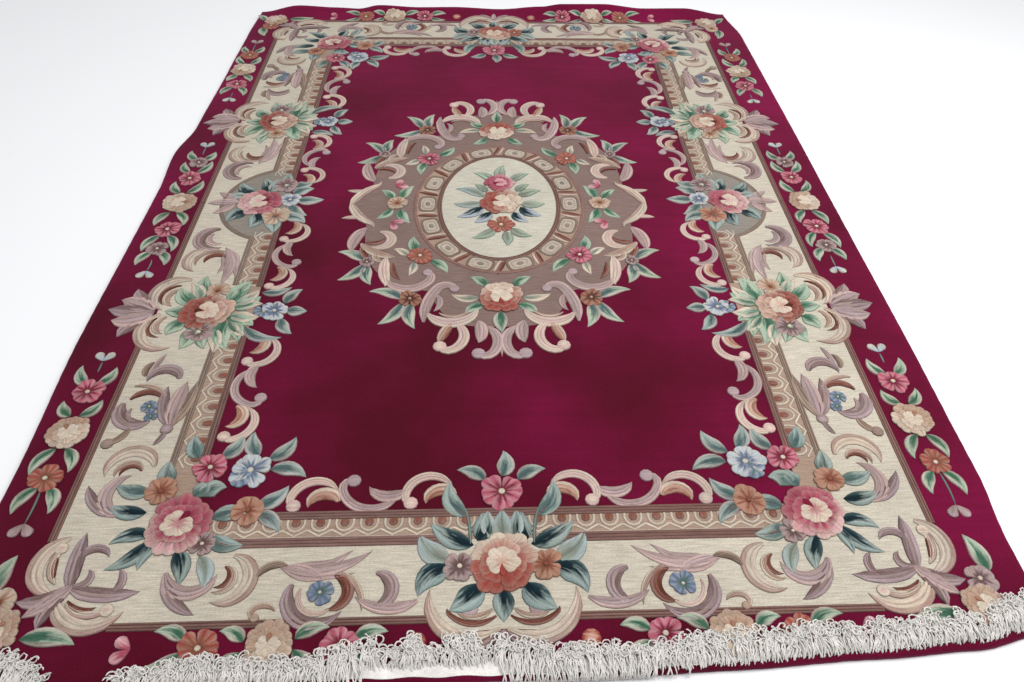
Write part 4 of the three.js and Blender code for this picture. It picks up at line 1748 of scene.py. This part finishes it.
class RUG_OT_field(bpy.types.Operator):
    """Carves the chains of scrolls along the field's edge"""

    bl_idname = "rug.field"
    bl_label = "Field scrolls"

    def execute(self, context):
        def chains(carving):
            for spot in quarters():
                for seat in (
                    Spot(spot.at(85, 957), spot.turned(1, 0), spot.turned(0, -1)),
                    Spot(spot.at(547, 506), spot.turned(0, 0.96), spot.turned(-0.96, 0)),
                    Spot(spot.at(547, 88), spot.turned(0, 0.86), spot.turned(-0.92, 0)),
                ):
                    scrolls(carving, seat, FIELD_CHAIN, level=0.2)

        carve("field_scrolls", 10, chains)
        return {"FINISHED"}


class RUG_OT_medallion(bpy.types.Operator):
    """Carves the medallion with its ring and the bouquet at its centre"""

    bl_idname = "rug.medallion"
    bl_label = "Medallion"

    def execute(self, context):
        def surround(carving):
            for quarter, variety in zip(quarters(), ("coral", "pink", "pink", "coral")):
                spot = Spot(MEDALLION.origin, quarter.along, quarter.across)
                medallion_quarter(carving, spot, variety)
            for sign in (1, -1):
                side = Spot(MEDALLION.origin, (sign, 0), (0, 1))
                blossom(carving, side, 272, 2, 31, "tan", 30)
                end = Spot(MEDALLION.origin, (1, 0), (0, sign))
                leaf(carving, end, (0, 428), (2, 498), 36, "guard", 0.05)
                rose(carving, end, 0, 378, 56, "cream", facing=90)
                scroll(carving, end, "lilac", 5, 0, 496, 0, 572)
            ring(carving, MEDALLION)

        def centre(carving):
            leaves(carving, MEDALLION, CENTRE_LEAVES)
            blossom(carving, MEDALLION, 4, -96, 37, "coral", 18)
            rose(carving, MEDALLION, 4, 97, 43, "peony", facing=200)
            rose(carving, MEDALLION, 6, 8, 60, "cream", facing=170)

        carve("medallion", 12, surround)
        carve("centre_bouquet", 13, centre)
        return {"FINISHED"}


class RUG_OT_fringe(bpy.types.Operator):
    bl_idname = "rug.fringe"
    bl_label = "Fringe"

    def execute(self, context):
        sizes = context.scene.rug_sizes
        cotton = context.scene.rug_colours.cotton
        yarn = cotton_yarn("fringe_cotton", cotton, (700, 700, 700))
        strands = make_fringe(sizes.strands, sizes.strand / MM, yarn)
        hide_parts("fringe")
        web = make_web(cotton_yarn("web_cotton", [c * 1.08 for c in cotton], (160, 900, 1)))
        return {"FINISHED"}


class RUG_PT_panel(bpy.types.Panel):
    """Lists the rug's sizes, colours and steps"""

    bl_label = "Carved rug"
    bl_idname = "RUG_PT_panel"
    bl_space_type = "VIEW_3D"
    bl_region_type = "UI"
    bl_category = "Rug"

    def draw(self, context):
        for group in (context.scene.rug_sizes, context.scene.rug_colours):
            for name in group.__annotations__:
                self.layout.prop(group, name)
        for step in STEPS:
            self.layout.operator(step.bl_idname)


STEPS = (
    RUG_OT_stage,
    RUG_OT_pile,
    RUG_OT_borders,
    RUG_OT_frame,
    RUG_OT_bouquets,
    RUG_OT_field,
    RUG_OT_medallion,
    RUG_OT_fringe,
)
CLASSES = (RugColours, RugSizes, *STEPS, RUG_PT_panel)


def register():
    for cls in CLASSES:
        bpy.utils.register_class(cls)
    bpy.types.Scene.rug_colours = PointerProperty(type=RugColours)
    bpy.types.Scene.rug_sizes = PointerProperty(type=RugSizes)


def unregister():
    del bpy.types.Scene.rug_sizes
    del bpy.types.Scene.rug_colours
    for cls in reversed(CLASSES):
        bpy.utils.unregister_class(cls)


def main():
    register()
    for step in STEPS:
        family, name = step.bl_idname.split(".")
        getattr(getattr(bpy.ops, family), name)()


if __name__ == "__main__":
    main()
